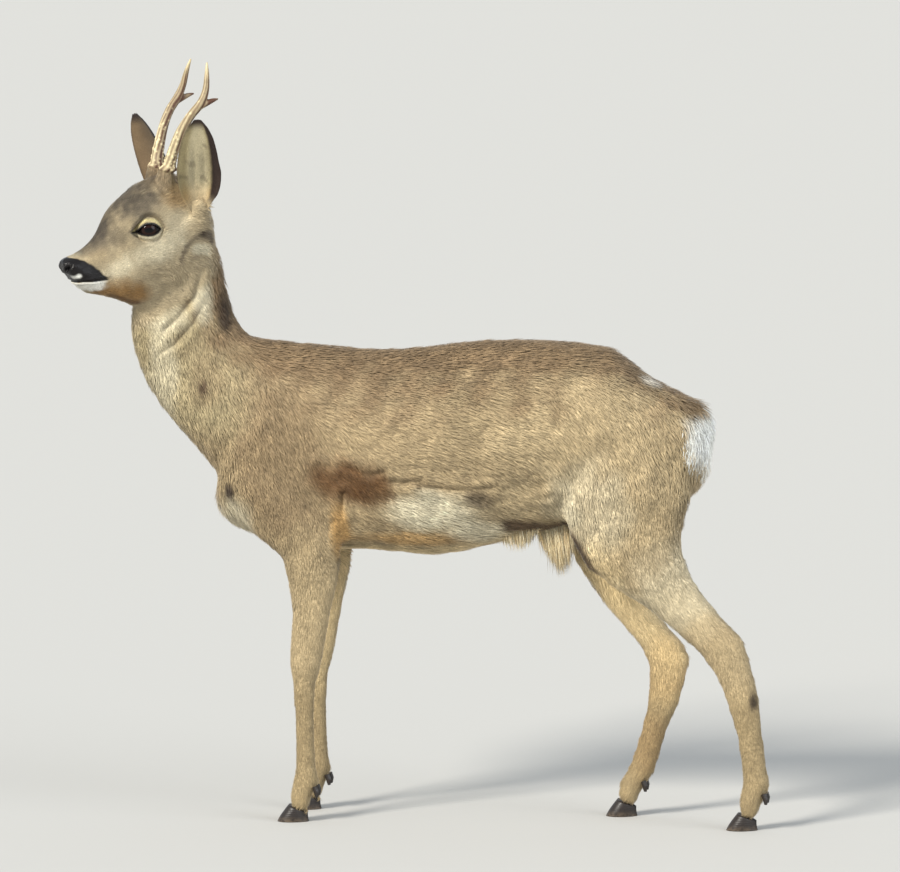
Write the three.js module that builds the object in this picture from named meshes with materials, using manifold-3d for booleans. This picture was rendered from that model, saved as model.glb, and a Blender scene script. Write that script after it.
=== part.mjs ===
// A roe deer buck in its winter coat, standing, with its head turned a little to its own left.
// Life size, in millimetres. The nose points along -X, the buck's left side faces -Y, and +Z is up.
// The body is lofted whole from outline pairs and parted into its named pieces by thin cuts.

import * as THREE from "three";
import { mergeVertices } from "three/addons/utils/BufferGeometryUtils.js";
import Module from "manifold-3d";

const wasm = await Module();
wasm.setup();

// ---------------------------------------------------------------- driving dimensions

const GAP = 0.3; // clearance between two pieces that touch
const HIP_LINE = 448; // height at which the hind legs part from the trunk
const ELBOW_LINE = 404; // height at which the forelegs part from the trunk

const FORE_TRACK = 62; // sideways place of a foreleg
const HIND_TRACK = 58; // sideways place of a hind leg
const SOLE_LENGTH = 47; // one claw, heel to toe
const SOLE_WIDTH = 17;
const CORONET_HEIGHT = 25; // where hair meets horn, at the front of a claw
const HEEL_HEIGHT = 14; // and at its heel
const CORONET_LENGTH = 0.6; // of the sole's length
const CORONET_SETBACK = 0.36; // from the toe, of the same length
const CLEFT = 2.4; // half the space between two claws of a foot
const DEWCLAW_RADIUS = 4.6;

const HEAD_PLACE = [-316, -26, 858]; // the head's own origin, inside the skull
const HEAD_YAW = 32; // degrees that the head turns to its left
const FACE_PITCH = 22; // degrees that the face's long axis points down

const EYE_RADIUS = 17;
const EYE_SHAPE = [1.14, 0.86, 0.74]; // its long axis lies along the face, and it is lowest in height
const EYE_PLACE = { along: 65, across: 36, up: 45 };

const EAR_WIDTH = 31; // half width at the widest place
const EAR_ROOT = { forward: -4, across: 47, up: 42 };
const EAR_TIPS = {
  left: { forward: 25, across: 112, up: 182 },
  right: { forward: 31, across: 111, up: 171 },
};

const ANTLER_RADIUS = 8.2; // beam just above the burr

// How finely each length is cut, along it and round it.
const FINENESS = {
  trunk: { rings: 23, sides: 20 },
  neck: { rings: 13, sides: 18 },
  head: { rings: 25, sides: 20 },
  pedicle: { rings: 3, sides: 8 },
  ear: { rings: 11, halfSides: 4 },
  eye: { rings: 8, sides: 14 },
  beam: { rings: 17, sides: 8 },
  tine: { rings: 5, sides: 7 },
  foreleg: { rings: 16, sides: 10 },
  hindleg: { rings: 17, sides: 10 },
  digit: { rings: 4, sides: 8 },
  claw: { sides: 9 },
  dewclaw: { rings: 3, sides: 5 },
  tail: { rings: 7, sides: 9 },
  brush: { rings: 7, sides: 10 },
};

const COLOURS = {
  coat: 0x8a7a68,
  face: 0x7d6f61,
  ear: 0x9a8b76,
  leg: 0x94795a,
  rump: 0xe9e5dc,
  brush: 0xc9ab77,
  nose: 0x17130f,
  eye: 0x120c08,
  antler: 0xa58a66,
  horn: 0x2a231d,
};
const ROUGHNESS = { hair: 0.9, bone: 0.6, horn: 0.45, wet: 0.35, glassy: 0.1 };

// ---------------------------------------------------------------- shapes

const smooth = (a, b, c, d, t) =>
  0.5 * (2 * b + (c - a) * t + (2 * a - 5 * b + 4 * c - d) * t * t + (3 * b - a - 3 * c + d) * t ** 3);

/** Rows read along their length by a Catmull-Rom spline, as `count` rows evenly spaced by index. */
function resample(rows, count) {
  const last = rows.length - 1;
  const clamp = (i) => rows[Math.min(Math.max(i, 0), last)];
  return Array.from({ length: count }, (_, k) => {
    const place = (k / (count - 1)) * last;
    const i = Math.min(Math.floor(place), last - 1);
    const t = place - i;
    return rows[i].map((_, j) =>
      smooth(clamp(i - 1)[j], clamp(i)[j], clamp(i + 1)[j], clamp(i + 2)[j], t),
    );
  });
}

/** A closed skin over rings that all have the same number of points, with a flat fan at each end. */
function skin(rings) {
  const sides = rings[0].length;
  const positions = [];
  const index = [];
  for (const ring of rings) {
    for (const p of ring) positions.push(p.x, p.y, p.z);
  }
  for (let r = 0; r + 1 < rings.length; r++) {
    for (let s = 0; s < sides; s++) {
      const next = (s + 1) % sides;
      const a = r * sides + s;
      const b = r * sides + next;
      const c = a + sides;
      const d = b + sides;
      index.push(a, b, d, a, d, c);
    }
  }
  for (const [ring, flip] of [
    [0, false],
    [rings.length - 1, true],
  ]) {
    const centre = rings[ring].reduce((sum, p) => sum.add(p), new THREE.Vector3()).divideScalar(sides);
    const hub = positions.length / 3;
    positions.push(centre.x, centre.y, centre.z);
    for (let s = 0; s < sides; s++) {
      const a = ring * sides + s;
      const b = ring * sides + ((s + 1) % sides);
      index.push(...(flip ? [hub, a, b] : [hub, b, a]));
    }
  }
  const geometry = new THREE.BufferGeometry();
  geometry.setAttribute("position", new THREE.Float32BufferAttribute(positions, 3));
  geometry.setIndex(index);
  return geometry;
}

/** Six times the volume that a closed indexed mesh holds, negative when it is inside out. */
function signedVolume(vertices, triangles) {
  const corner = (i) => new THREE.Vector3(...vertices.slice(3 * i, 3 * i + 3));
  let total = 0;
  for (let t = 0; t < triangles.length; t += 3) {
    const [a, b, c] = [corner(triangles[t]), corner(triangles[t + 1]), corner(triangles[t + 2])];
    total += a.dot(b.cross(c));
  }
  return total;
}

/** The manifold solid inside a closed three.js geometry. */
function solid(source) {
  const bare = source.clone();
  for (const name of Object.keys(bare.attributes)) {
    if (name !== "position") bare.deleteAttribute(name);
  }
  const merged = mergeVertices(bare, 1e-4);
  const vertProperties = Float32Array.from(merged.attributes.position.array);
  const triVerts = Uint32Array.from(merged.index.array);
  if (signedVolume(vertProperties, triVerts) < 0) {
    for (let t = 0; t < triVerts.length; t += 3) {
      [triVerts[t + 1], triVerts[t + 2]] = [triVerts[t + 2], triVerts[t + 1]];
    }
  }
  return new wasm.Manifold(new wasm.Mesh({ numProp: 3, vertProperties, triVerts }));
}

/**
 * A body length from outline pairs. A row is [x1, z1, x2, z2, y, side, skew, yaw]: the two outline
 * points of one ring in the plane of symmetry (under or front first, then top or back), the sideways
 * place and half width there, how much fuller the second point's half is, and the plane's yaw.
 */
function bodyLength(rows, { rings: count, sides }, { squareness = 0.92, swell = () => 0 } = {}) {
  const rings = resample(rows, count).map(([x1, z1, x2, z2, y, side, skew = 0, yaw = 0]) => {
    const turn = THREE.MathUtils.degToRad(yaw);
    const across = new THREE.Vector3(-Math.sin(turn), -Math.cos(turn), 0);
    const centre = new THREE.Vector3((x1 + x2) / 2, y, (z1 + z2) / 2);
    const reach = new THREE.Vector3((x2 - x1) / 2, 0, (z2 - z1) / 2);
    return Array.from({ length: sides }, (_, s) => {
      const angle = (2 * Math.PI * s) / sides;
      const out = Math.sign(Math.sin(angle)) * Math.abs(Math.sin(angle)) ** squareness;
      const wide = side * out * (1 + skew * Math.cos(angle));
      const point = centre.clone().addScaledVector(reach, Math.cos(angle));
      return point.addScaledVector(across, wide + Math.sign(out) * swell(point, Math.abs(out)));
    });
  });
  return solid(skin(rings));
}

/** A round, tapering length through points [x, y, z, radius], used for tines and digits. */
function taperedRod(rows, { rings: count, sides }, flat = 1) {
  const path = resample(rows, count);
  const rings = path.map(([x, y, z, radius], i) => {
    const ahead = path[Math.min(i + 1, count - 1)];
    const behind = path[Math.max(i - 1, 0)];
    const along = new THREE.Vector3(ahead[0] - behind[0], ahead[1] - behind[1], ahead[2] - behind[2]);
    along.normalize();
    const u = new THREE.Vector3(0, 1, 0).addScaledVector(along, -along.y).normalize();
    const v = new THREE.Vector3().crossVectors(along, u);
    return Array.from({ length: sides }, (_, s) => {
      const angle = (2 * Math.PI * s) / sides;
      return new THREE.Vector3(x, y, z)
        .addScaledVector(u, radius * flat * Math.cos(angle))
        .addScaledVector(v, radius * Math.sin(angle));
    });
  });
  return solid(skin(rings));
}

/** A soft bump: full at the centre, gone at about twice the radius. */
const bump = (point, [x, z], radius, height) =>
  height * Math.exp(-((point.x - x) ** 2 + (point.z - z) ** 2) / (2 * radius ** 2));

const mirrored = (piece) => piece.mirror([0, 1, 0]);

/** Each side's pieces are made as the left one, and the right one is its mirror image. */
const SIDES = { left: (piece) => piece, right: mirrored };

const UPWARD = [0, 0, 1];
const DOWNWARD = [0, 0, -1];
const BACKWARD = [1, 0, 0];

/** The two sides of a plane through a point, each drawn back by half the gap: [beyond, behind]. */
function parted(piece, point, normal) {
  const n = new THREE.Vector3(...normal).normalize();
  const offset = n.dot(new THREE.Vector3(...point));
  return [
    piece.trimByPlane([n.x, n.y, n.z], offset + GAP / 2),
    piece.trimByPlane([-n.x, -n.y, -n.z], -offset + GAP / 2),
  ];
}

/** The piece grown by about the gap, to be cut from a neighbour that rests on it. */
function grown(piece) {
  const box = piece.boundingBox();
  const middle = [0, 1, 2].map((i) => (box.min[i] + box.max[i]) / 2);
  const factors = [0, 1, 2].map((i) => 1 + (4 * GAP) / (box.max[i] - box.min[i]));
  return piece
    .translate(middle.map((m) => -m))
    .scale(factors)
    .translate(middle);
}

/** The largest separate body of a solid, which drops the crumbs that a cut leaves. */
const largest = (piece) => piece.decompose().sort((a, b) => b.volume() - a.volume())[0];

/** The piece cut by a neighbour that lies behind it, and drawn away from it along a direction. */
function clearOf(piece, neighbour, direction) {
  const step = new THREE.Vector3(...direction).setLength(2 * GAP);
  return largest(piece.subtract(neighbour).subtract(neighbour.translate(step.toArray())));
}

// ---------------------------------------------------------------- trunk and neck

/** Chest, ribs, belly, loin and croup. */
function trunkSolid() {
  const rows = [
    // x1,  z1,   x2,  z2,  y, side, skew
    [-272, 476, -266, 512, 0, 24, 0],
    [-264, 446, -262, 566, 0, 52, 0],
    [-243, 427, -240, 636, 0, 70, -0.04],
    [-208, 412, -205, 690, 0, 82, -0.08],
    [-165, 403, -165, 700, 0, 86, -0.12],
    [-112, 395, -112, 700, 0, 90, -0.14],
    [-58, 396, -58, 696, 0, 96, -0.12],
    [0, 393, 0, 695, 0, 101, -0.1],
    [56, 389, 56, 701, 0, 103, -0.08],
    [108, 398, 108, 708, 0, 101, -0.04],
    [158, 411, 158, 711, 0, 97, 0.02],
    [210, 426, 210, 711, 0, 93, 0.06],
    [262, 440, 262, 708, 0, 90, 0.08],
    [308, 452, 308, 702, 0, 87, 0.08],
    [345, 462, 340, 682, 0, 84, 0.04],
    [385, 470, 374, 656, 0, 82, -0.04],
    [420, 476, 406, 642, 0, 77, -0.08],
    [442, 492, 434, 628, 0, 66, -0.08],
    [457, 522, 453, 600, 0, 48, -0.06],
    [462, 548, 461, 580, 0, 26, 0],
  ];
  return bodyLength(rows, FINENESS.trunk);
}

/** The neck, from the shoulders up into the skull. Front is the throat, back is the nape. */
function neckSolid() {
  const rows = [
    // x1,  z1,   x2,  z2,   y, side, skew, yaw
    [-240, 470, -120, 694, 0, 70, -0.1, 0],
    [-274, 508, -178, 704, 0, 72, -0.12, 0],
    [-300, 543, -216, 709, -2, 65, -0.14, 4],
    [-330, 578, -238, 727, -5, 58, -0.14, 9],
    [-359, 618, -250, 753, -10, 54, -0.12, 14],
    [-380, 662, -257, 785, -15, 51, -0.1, 19],
    [-389, 708, -263, 817, -20, 50, -0.08, 24],
    [-388, 742, -272, 846, -25, 48, -0.04, 28],
    [-376, 772, -284, 870, -29, 44, 0, 31],
    [-360, 800, -298, 886, -31, 36, 0, 32],
  ];
  return bodyLength(rows, FINENESS.neck);
}

// ---------------------------------------------------------------- head

const headTurn = new THREE.Matrix4()
  .makeTranslation(...HEAD_PLACE)
  .multiply(new THREE.Matrix4().makeRotationZ(THREE.MathUtils.degToRad(HEAD_YAW)));

/** Where the neck parts from the trunk. */
const COLLAR = { point: [-255, 0, 600], normal: [-0.86, 0, 0.5] };

/** A place in the head's level frame, forward of, beside (left) and above its origin. */
const inHead = ({ forward, across, up }) => new THREE.Vector3(-forward, -across, up);

/** A place on the pitched face: along its axis to the nose, beside it, and up from it. */
function onFace({ along, across, up }) {
  const pitch = THREE.MathUtils.degToRad(FACE_PITCH);
  const forward = along * Math.cos(pitch) + up * Math.sin(pitch);
  return inHead({ forward, across, up: up * Math.cos(pitch) - along * Math.sin(pitch) });
}

/** Where the nose pad parts from the muzzle. */
const NOSE_CUT = { point: onFace({ along: 186, across: 0, up: 36 }).toArray(), normal: [-1, 0, 0.25] };

const facePitch = new THREE.Matrix4().makeRotationY(-THREE.MathUtils.degToRad(FACE_PITCH));
const placed = (piece, ...matrices) =>
  matrices.reduce((moved, matrix) => moved.transform(matrix.elements), piece);

/** Brow, cheek, lip and nostril fullness, and the hollow before the eye. */
function faceSwell(point, out) {
  const along = -point.x;
  const at = { x: along, z: point.z };
  const brow = bump(at, [80, 66], 12, 6);
  const cheek = bump(at, [48, -18], 26, 3.5);
  const nostril = bump(at, [188, 34], 8, 2.6);
  const lip = bump(at, [168, 8], 16, 2.2);
  const hollow = bump(at, [112, 30], 15, -3.5);
  const socket = bump(at, [EYE_PLACE.along, EYE_PLACE.up], 9, -2.5);
  return out * (brow + cheek + nostril + lip + hollow + socket);
}

/** The head in its pitched frame: nose along -X, crown up. */
function headSolid() {
  const rows = [
    // -along, under, -along, crown, y, side, skew
    [-194, 32, -195, 42, 0, 9, 0],
    [-190, 19, -191, 48, 0, 17, 0.1],
    [-183, 1, -184, 49, 0, 22, 0.06],
    [-172, -15, -173, 48, 0, 24, -0.06],
    [-158, -24, -159, 49, 0, 25, -0.16],
    [-144, -34, -146, 52, 0, 26.5, -0.08],
    [-129, -47, -131, 57, 0, 30, 0.04],
    [-114, -62, -117, 66, 0, 34.5, 0.14],
    [-98, -71, -101, 80, 0, 39, 0.22],
    [-80, -76, -84, 89, 0, 43, 0.26],
    [-60, -79, -66, 95, 0, 45, 0.24],
    [-38, -79, -44, 103, 0, 46, 0.16],
    [-16, -74, -20, 107, 0, 46, 0.08],
    [8, -62, 4, 105, 0, 45, 0.04],
    [26, -44, 24, 95, 0, 43, 0],
    [40, -20, 39, 78, 0, 34, 0],
    [48, 8, 48, 58, 0, 18, 0],
  ];
  return bodyLength(rows, FINENESS.head, { squareness: 0.86, swell: faceSwell });
}

/** The stump of bone under an antler, covered in hair. */
function pedicle() {
  const rows = [
    [-37, -19, 74, 12.5],
    [-36, -20, 88, 12],
    [-35, -21.4, 98, 11],
  ];
  return taperedRod(rows, FINENESS.pedicle);
}

/** A leaf-shaped, cupped ear in its own frame: root at the origin, tip along +Z, cup facing -Y. */
function earSolid(length) {
  const rows = [
    // height share, half width, cup depth, wall
    [-0.06, 0.44, 15, 17],
    [0.08, 0.68, 17, 11],
    [0.26, 0.96, 15, 6],
    [0.45, 1.02, 11, 4.2],
    [0.64, 0.9, 8, 3.6],
    [0.8, 0.68, 5, 3.2],
    [0.93, 0.4, 2.5, 2.6],
    [1, 0.14, 0.5, 1.4],
  ];
  const half = FINENESS.ear.halfSides;
  const rings = resample(rows, FINENESS.ear.rings).map(([height, width, cup, wall]) => {
    const z = height * length;
    const edge = (s, side) => {
      const u = s / half;
      const x = width * EAR_WIDTH * u;
      const thin = wall * (1 - 0.72 * u * u);
      return new THREE.Vector3(x, -cup * u * u + cup * 0.5 + side * thin * 0.5, z);
    };
    const back = Array.from({ length: 2 * half + 1 }, (_, i) => edge(i - half, 1));
    const front = Array.from({ length: 2 * half - 1 }, (_, i) => edge(half - 1 - i, -1));
    return [...back, ...front];
  });
  return solid(skin(rings));
}

/** Turns the ear's frame onto the head: tip along root to tip, cup outward and a little forward. */
function earPlace(up) {
  const root = inHead(EAR_ROOT);
  const cup = inHead({ forward: 0.42, across: 0.9, up: -0.2 });
  cup.addScaledVector(up, -cup.dot(up)).normalize();
  const backward = new THREE.Vector3().crossVectors(up, cup);
  return new THREE.Matrix4().makeBasis(backward, cup.clone().negate(), up).setPosition(root);
}

function eyeSolid() {
  const ball = new THREE.SphereGeometry(EYE_RADIUS, FINENESS.eye.sides, FINENESS.eye.rings);
  ball.scale(...EYE_SHAPE);
  return solid(ball);
}

const eyeSpot = new THREE.Matrix4().makeTranslation(-EYE_PLACE.along, -EYE_PLACE.across, EYE_PLACE.up);

// ---------------------------------------------------------------- antlers

/** The left beam's middle line, from the burr to the tip of the front tine, with its radius. */
const BEAM = [
  // forward, across, up, radius
  [34.9, 21.5, 98.6, ANTLER_RADIUS + 3.2],
  [34.2, 22.3, 103, ANTLER_RADIUS + 3.6],
  [33, 23.2, 107.5, ANTLER_RADIUS + 0.6],
  [28, 27.5, 128, ANTLER_RADIUS],
  [19, 33, 156, ANTLER_RADIUS - 1.2],
  [6, 40, 180, ANTLER_RADIUS - 2],
  [-9, 44.5, 199, ANTLER_RADIUS - 2],
  [-17, 43, 217, ANTLER_RADIUS - 3],
  [-21, 38, 238, ANTLER_RADIUS - 4.6],
  [-24.5, 30, 258, ANTLER_RADIUS - 7.2],
];
const ANTLER_FORK_ROW = 6; // the row of BEAM at which it forks
const REAR_TINE = [
  [-3, 44, 192, ANTLER_RADIUS - 3],
  [-16, 45.5, 198, ANTLER_RADIUS - 3.4],
  [-27, 45.5, 202, ANTLER_RADIUS - 5],
  [-36.5, 45, 204.5, ANTLER_RADIUS - 7.2],
];

const toHead = ([forward, across, up, radius]) => [-forward, -across, up, radius];

/** The three pieces of a left antler: the beam up to the fork, the front tine and the rear tine. */
function antlerPieces() {
  const whole = taperedRod(BEAM.map(toHead), FINENESS.beam);
  const rear = taperedRod(REAR_TINE.map(toHead), FINENESS.tine);
  const fork = toHead(BEAM[ANTLER_FORK_ROW]);
  const acrossTheBeam = [0.62, 0, 0.78];
  const backward = [1, 0, 0.3];
  const [tine, beam] = parted(whole, fork.slice(0, 3), acrossTheBeam);
  return { beam, tine, rear: clearOf(clearOf(rear, beam, backward), tine, backward) };
}

// ---------------------------------------------------------------- legs and feet

const FORELEG = [
  // front x, z,  back x, z,   y, side
  [-206, 650, -132, 634, -34, 22, 0],
  [-246, 568, -110, 545, -50, 31, 0],
  [-259, 490, -92, 474, -57, 35, 0],
  [-214, 428, -80, 424, -60, 33, 0],
  [-168, 392, -80, 392, -FORE_TRACK, 28, 0],
  [-158, 352, -83, 352, -FORE_TRACK, 25, 0],
  [-152, 308, -93, 308, -FORE_TRACK, 21, 0],
  [-155, 262, -101, 262, -FORE_TRACK, 19.5, 0],
  [-156, 234, -106, 234, -FORE_TRACK, 19.5, 0],
  [-150, 203, -115, 203, -FORE_TRACK, 16, 0],
  [-148, 156, -118, 156, -FORE_TRACK, 13, 0],
  [-147, 112, -117, 112, -FORE_TRACK, 13, 0],
  [-147, 82, -114, 80, -FORE_TRACK, 15, 0],
  [-149, 64, -110, 60, -FORE_TRACK, 17.5, 0],
  [-153, 48, -120, 38, -FORE_TRACK, 16, 0],
  [-149, 36, -134, 30, -FORE_TRACK, 9, 0],
];
const HINDLEG_BACK = [
  [262, 646, 400, 628, -32, 24, 0],
  [240, 566, 442, 552, -46, 41, 0],
  [244, 488, 442, 492, -52, 44, 0],
  [254, 434, 430, 452, -54, 41, 0],
  [278, 388, 426, 410, -56, 36, 0],
  [322, 354, 440, 372, -HIND_TRACK, 29, 0],
  [372, 324, 462, 340, -HIND_TRACK, 23, 0],
  [411, 292, 488, 310, -HIND_TRACK, 20, 0],
  [446, 262, 515, 284, -HIND_TRACK, 19, 0],
  [469, 234, 524, 256, -HIND_TRACK, 19, 0],
  [484, 204, 536, 212, -HIND_TRACK, 17, 0],
  [495, 172, 541, 178, -HIND_TRACK, 14.5, 0],
  [507, 132, 545, 136, -HIND_TRACK, 13, 0],
  [511, 98, 550, 98, -HIND_TRACK, 14, 0],
  [514, 72, 556, 66, -HIND_TRACK, 17.5, 0],
  [510, 52, 543, 38, -HIND_TRACK, 16, 0],
  [513, 36, 528, 30, -HIND_TRACK, 9, 0],
];
const HINDLEG_FORWARD = [
  [256, 646, 395, 628, -32, 24, 0],
  [228, 566, 438, 552, -46, 41, 0],
  [226, 488, 436, 492, -52, 44, 0],
  [236, 432, 410, 452, -54, 40, 0],
  [246, 386, 388, 404, -56, 34, 0],
  [270, 346, 372, 356, -HIND_TRACK, 27, 0],
  [296, 311, 373, 312, -HIND_TRACK, 22, 0],
  [322, 282, 393, 280, -HIND_TRACK, 20, 0],
  [346, 254, 415, 257, -HIND_TRACK, 19, 0],
  [360, 226, 424, 236, -HIND_TRACK, 19, 0],
  [361, 196, 417, 204, -HIND_TRACK, 17, 0],
  [357, 160, 407, 168, -HIND_TRACK, 15, 0],
  [347, 120, 390, 130, -HIND_TRACK, 13.5, 0],
  [337, 88, 379, 92, -HIND_TRACK, 14, 0],
  [328, 66, 370, 64, -HIND_TRACK, 17.5, 0],
  [318, 50, 351, 37, -HIND_TRACK, 16, 0],
  [321, 36, 337, 29, -HIND_TRACK, 9, 0],
];

/** Where a foot stands: its heel just under the back of the leg's last outline pair but one. */
function footPlace(rows) {
  const [x1, z1, x2, z2, y] = rows[rows.length - 2];
  const heel = x2 - 7;
  return { heel, toe: heel - SOLE_LENGTH * 0.96, y, z: (z1 + z2) / 2, pasternX: (x1 + x2) / 2 };
}

/** One claw's outline, `length` by `width`, set back from the toe by `shift`, at a height along it. */
function clawRing(length, width, shift, height) {
  return Array.from({ length: FINENESS.claw.sides }, (_, i) => {
    const angle = (2 * Math.PI * i) / FINENESS.claw.sides;
    const along = (1 - Math.cos(angle)) / 2; // 0 at the toe, 1 at the heel
    const fullness = Math.sin(Math.PI * along ** 0.72) ** 0.62;
    const outer = Math.sin(angle) > 0;
    const out = outer ? width * fullness : width * 0.16 * (1 - fullness);
    return new THREE.Vector3(shift + along * length, out, height(along));
  });
}

/** A left-hand claw: toe at x = 0, cleft side along y = 0, flat sole at z = 0. */
function clawSolid() {
  const top = (share) => (along) => share * (HEEL_HEIGHT + (CORONET_HEIGHT - HEEL_HEIGHT) * (1 - along));
  const rows = [
    // length, width and set-back as shares of the sole's, and height as a share of the coronet's
    [1, 1, 0, 0],
    [0.82, 0.98, 0.16, 0.5],
    [CORONET_LENGTH, 0.88, CORONET_SETBACK, 1],
  ];
  const rings = rows.map(([length, width, setback, height]) =>
    clawRing(SOLE_LENGTH * length, SOLE_WIDTH * width, SOLE_LENGTH * setback, top(height)),
  );
  return solid(skin(rings));
}

/** Both digits above the claws, down to the slanting coronet, in hair. */
function digitRows(foot, out) {
  const y = foot.y + out * (CLEFT + SOLE_WIDTH * 0.46);
  const middle = foot.toe + SOLE_LENGTH * (CORONET_SETBACK + CORONET_LENGTH / 2);
  return [
    [foot.pasternX + 2, foot.y + out * 6, foot.z + 14, 12],
    [foot.pasternX, foot.y + out * 8, foot.z, 17],
    [middle + 2, y, HEEL_HEIGHT + 15, 15],
    [middle, y, HEEL_HEIGHT - 2, 14],
  ];
}

/** A leg with its two digits, cut off along the coronet. */
function legSolid(rows, fineness) {
  const foot = footPlace(rows);
  const digitFlatness = 0.66;
  let leg = bodyLength(rows, fineness, { squareness: 1 });
  for (const out of [-1, 1]) {
    leg = leg.add(taperedRod(digitRows(foot, out), FINENESS.digit, digitFlatness));
  }
  const coronet = [foot.toe + SOLE_LENGTH * CORONET_SETBACK, foot.y, CORONET_HEIGHT + GAP];
  const slope = (CORONET_HEIGHT - HEEL_HEIGHT) / (SOLE_LENGTH * CORONET_LENGTH);
  return parted(leg, coronet, [slope, 0, 1])[0];
}

/** The two claws of a foot and its two dewclaws, each a piece of its own. */
function footPieces(rows) {
  const foot = footPlace(rows);
  const claw = clawSolid().translate([foot.toe, foot.y + CLEFT, 0]);
  const dewclawRows = [
    [foot.heel + 11, foot.y + 10, foot.z + 10, DEWCLAW_RADIUS],
    [foot.heel + 13.5, foot.y + 10.5, foot.z + 2, DEWCLAW_RADIUS],
    [foot.heel + 14, foot.y + 11, foot.z - 6, DEWCLAW_RADIUS - 2.2],
  ];
  const dewclaw = taperedRod(dewclawRows, FINENESS.dewclaw);
  const flipped = (piece) => mirrored(piece.translate([0, -foot.y, 0])).translate([0, foot.y, 0]);
  return {
    inner_claw: claw,
    outer_claw: flipped(claw),
    inner_dewclaw: dewclaw,
    outer_dewclaw: flipped(dewclaw),
  };
}

// ---------------------------------------------------------------- small hanging pieces

/** The short tail, pressed down over the white rump. */
function tailSolid() {
  const rows = [
    [430, 0, 622, 12],
    [445, 0, 610, 13],
    [454, 0, 594, 12],
    [459, 0, 578, 8],
    [460, 0, 568, 3],
  ];
  const flatness = 1.5;
  return taperedRod(rows, FINENESS.tail, flatness);
}

/** The long hair that hangs under the belly before the hind legs. */
function brushSolid() {
  const rows = [
    [196, 416, 250, 440, 0, 20, 0],
    [200, 406, 254, 428, 0, 17, 0],
    [210, 392, 254, 408, 0, 13, 0],
    [218, 380, 248, 390, 0, 9, 0],
    [226, 371, 242, 376, 0, 4, 0],
  ];
  return bodyLength(rows, FINENESS.brush, { squareness: 1 });
}

// ---------------------------------------------------------------- assembly

const group = new THREE.Group();

/** Adds one named solid as a mesh of its own. */
function addPiece(name, piece, colour, roughness = ROUGHNESS.hair) {
  const { vertProperties, triVerts } = largest(piece).getMesh();
  const geometry = new THREE.BufferGeometry();
  geometry.setAttribute("position", new THREE.Float32BufferAttribute(vertProperties, 3));
  geometry.setIndex(Array.from(triVerts));
  geometry.computeVertexNormals();
  const mesh = new THREE.Mesh(geometry, new THREE.MeshStandardMaterial({ color: colour, roughness }));
  mesh.name = name;
  group.add(mesh);
}

/** An ear in the head's frame, as if it were the left one, cut clear of the skull. */
function earOnHead(tip, crown) {
  const line = inHead(tip).sub(inHead(EAR_ROOT));
  const placedEar = placed(earSolid(line.length()), earPlace(line.clone().normalize()));
  return clearOf(placedEar, crown, line.toArray());
}

/** Adds the head, what it carries and the neck, and gives back the trunk cut off at the collar. */
function addHeadAndNeck(trunk) {
  const eye = placed(eyeSolid(), eyeSpot, facePitch);
  const stumps = pedicle().add(mirrored(pedicle()));
  const skull = placed(headSolid(), facePitch).add(stumps);
  const socket = grown(eye);
  const bareHead = skull.subtract(socket.add(mirrored(socket)));
  const [muzzle, crown] = parted(bareHead, NOSE_CUT.point, NOSE_CUT.normal);
  const antler = antlerPieces();
  const turned = (piece) => placed(piece, headTurn);
  addPiece("head", turned(crown), COLOURS.face);
  addPiece("nose", turned(muzzle), COLOURS.nose, ROUGHNESS.wet);
  for (const [side, shape] of Object.entries(SIDES)) {
    addPiece(`eye_${side}`, turned(shape(eye)), COLOURS.eye, ROUGHNESS.glassy);
    addPiece(`ear_${side}`, turned(shape(earOnHead(EAR_TIPS[side], crown))), COLOURS.ear);
    addPiece(`antler_beam_${side}`, turned(shape(antler.beam)), COLOURS.antler, ROUGHNESS.bone);
    addPiece(`antler_front_tine_${side}`, turned(shape(antler.tine)), COLOURS.antler, ROUGHNESS.bone);
    addPiece(`antler_rear_tine_${side}`, turned(shape(antler.rear)), COLOURS.antler, ROUGHNESS.bone);
  }
  const [bareNeck, collar] = parted(neckSolid(), COLLAR.point, COLLAR.normal);
  const [, chest] = parted(trunk, COLLAR.point, COLLAR.normal);
  const downAndBack = [0.5, 0, -1];
  addPiece("neck", clearOf(bareNeck, turned(crown), downAndBack), COLOURS.coat);
  return chest.add(collar);
}

/** One leg: its upper part joins the trunk, and the rest becomes the leg node and its feet. */
function addLeg(trunk, { place, side, rows, fineness, partingHeight }) {
  const shape = SIDES[side];
  const leg = shape(legSolid(rows, fineness));
  const [upper, lower] = parted(leg, [0, 0, partingHeight], UPWARD);
  let shank = clearOf(lower, trunk, DOWNWARD);
  for (const [part, piece] of Object.entries(footPieces(rows))) {
    const placedPiece = shape(piece);
    if (part.endsWith("dewclaw")) shank = shank.subtract(grown(placedPiece));
    addPiece(`${place}_${side}_${part}`, placedPiece, COLOURS.horn, ROUGHNESS.horn);
  }
  addPiece(`${place}_${side}_leg`, shank, COLOURS.leg);
  return trunk.add(upper);
}

function addBody() {
  const fore = { place: "fore", rows: FORELEG, fineness: FINENESS.foreleg, partingHeight: ELBOW_LINE };
  const hind = { place: "hind", fineness: FINENESS.hindleg, partingHeight: HIP_LINE };
  const legs = [
    { ...fore, side: "left" },
    { ...fore, side: "right" },
    { ...hind, side: "left", rows: HINDLEG_BACK },
    { ...hind, side: "right", rows: HINDLEG_FORWARD },
  ];
  const trunk = legs.reduce(addLeg, addHeadAndNeck(trunkSolid()));
  addPiece("tail", clearOf(tailSolid(), trunk, BACKWARD), COLOURS.rump);
  addPiece("belly_brush", clearOf(brushSolid(), trunk, DOWNWARD), COLOURS.brush);
  addPiece("trunk", trunk, COLOURS.coat);
}

addBody();

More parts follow.
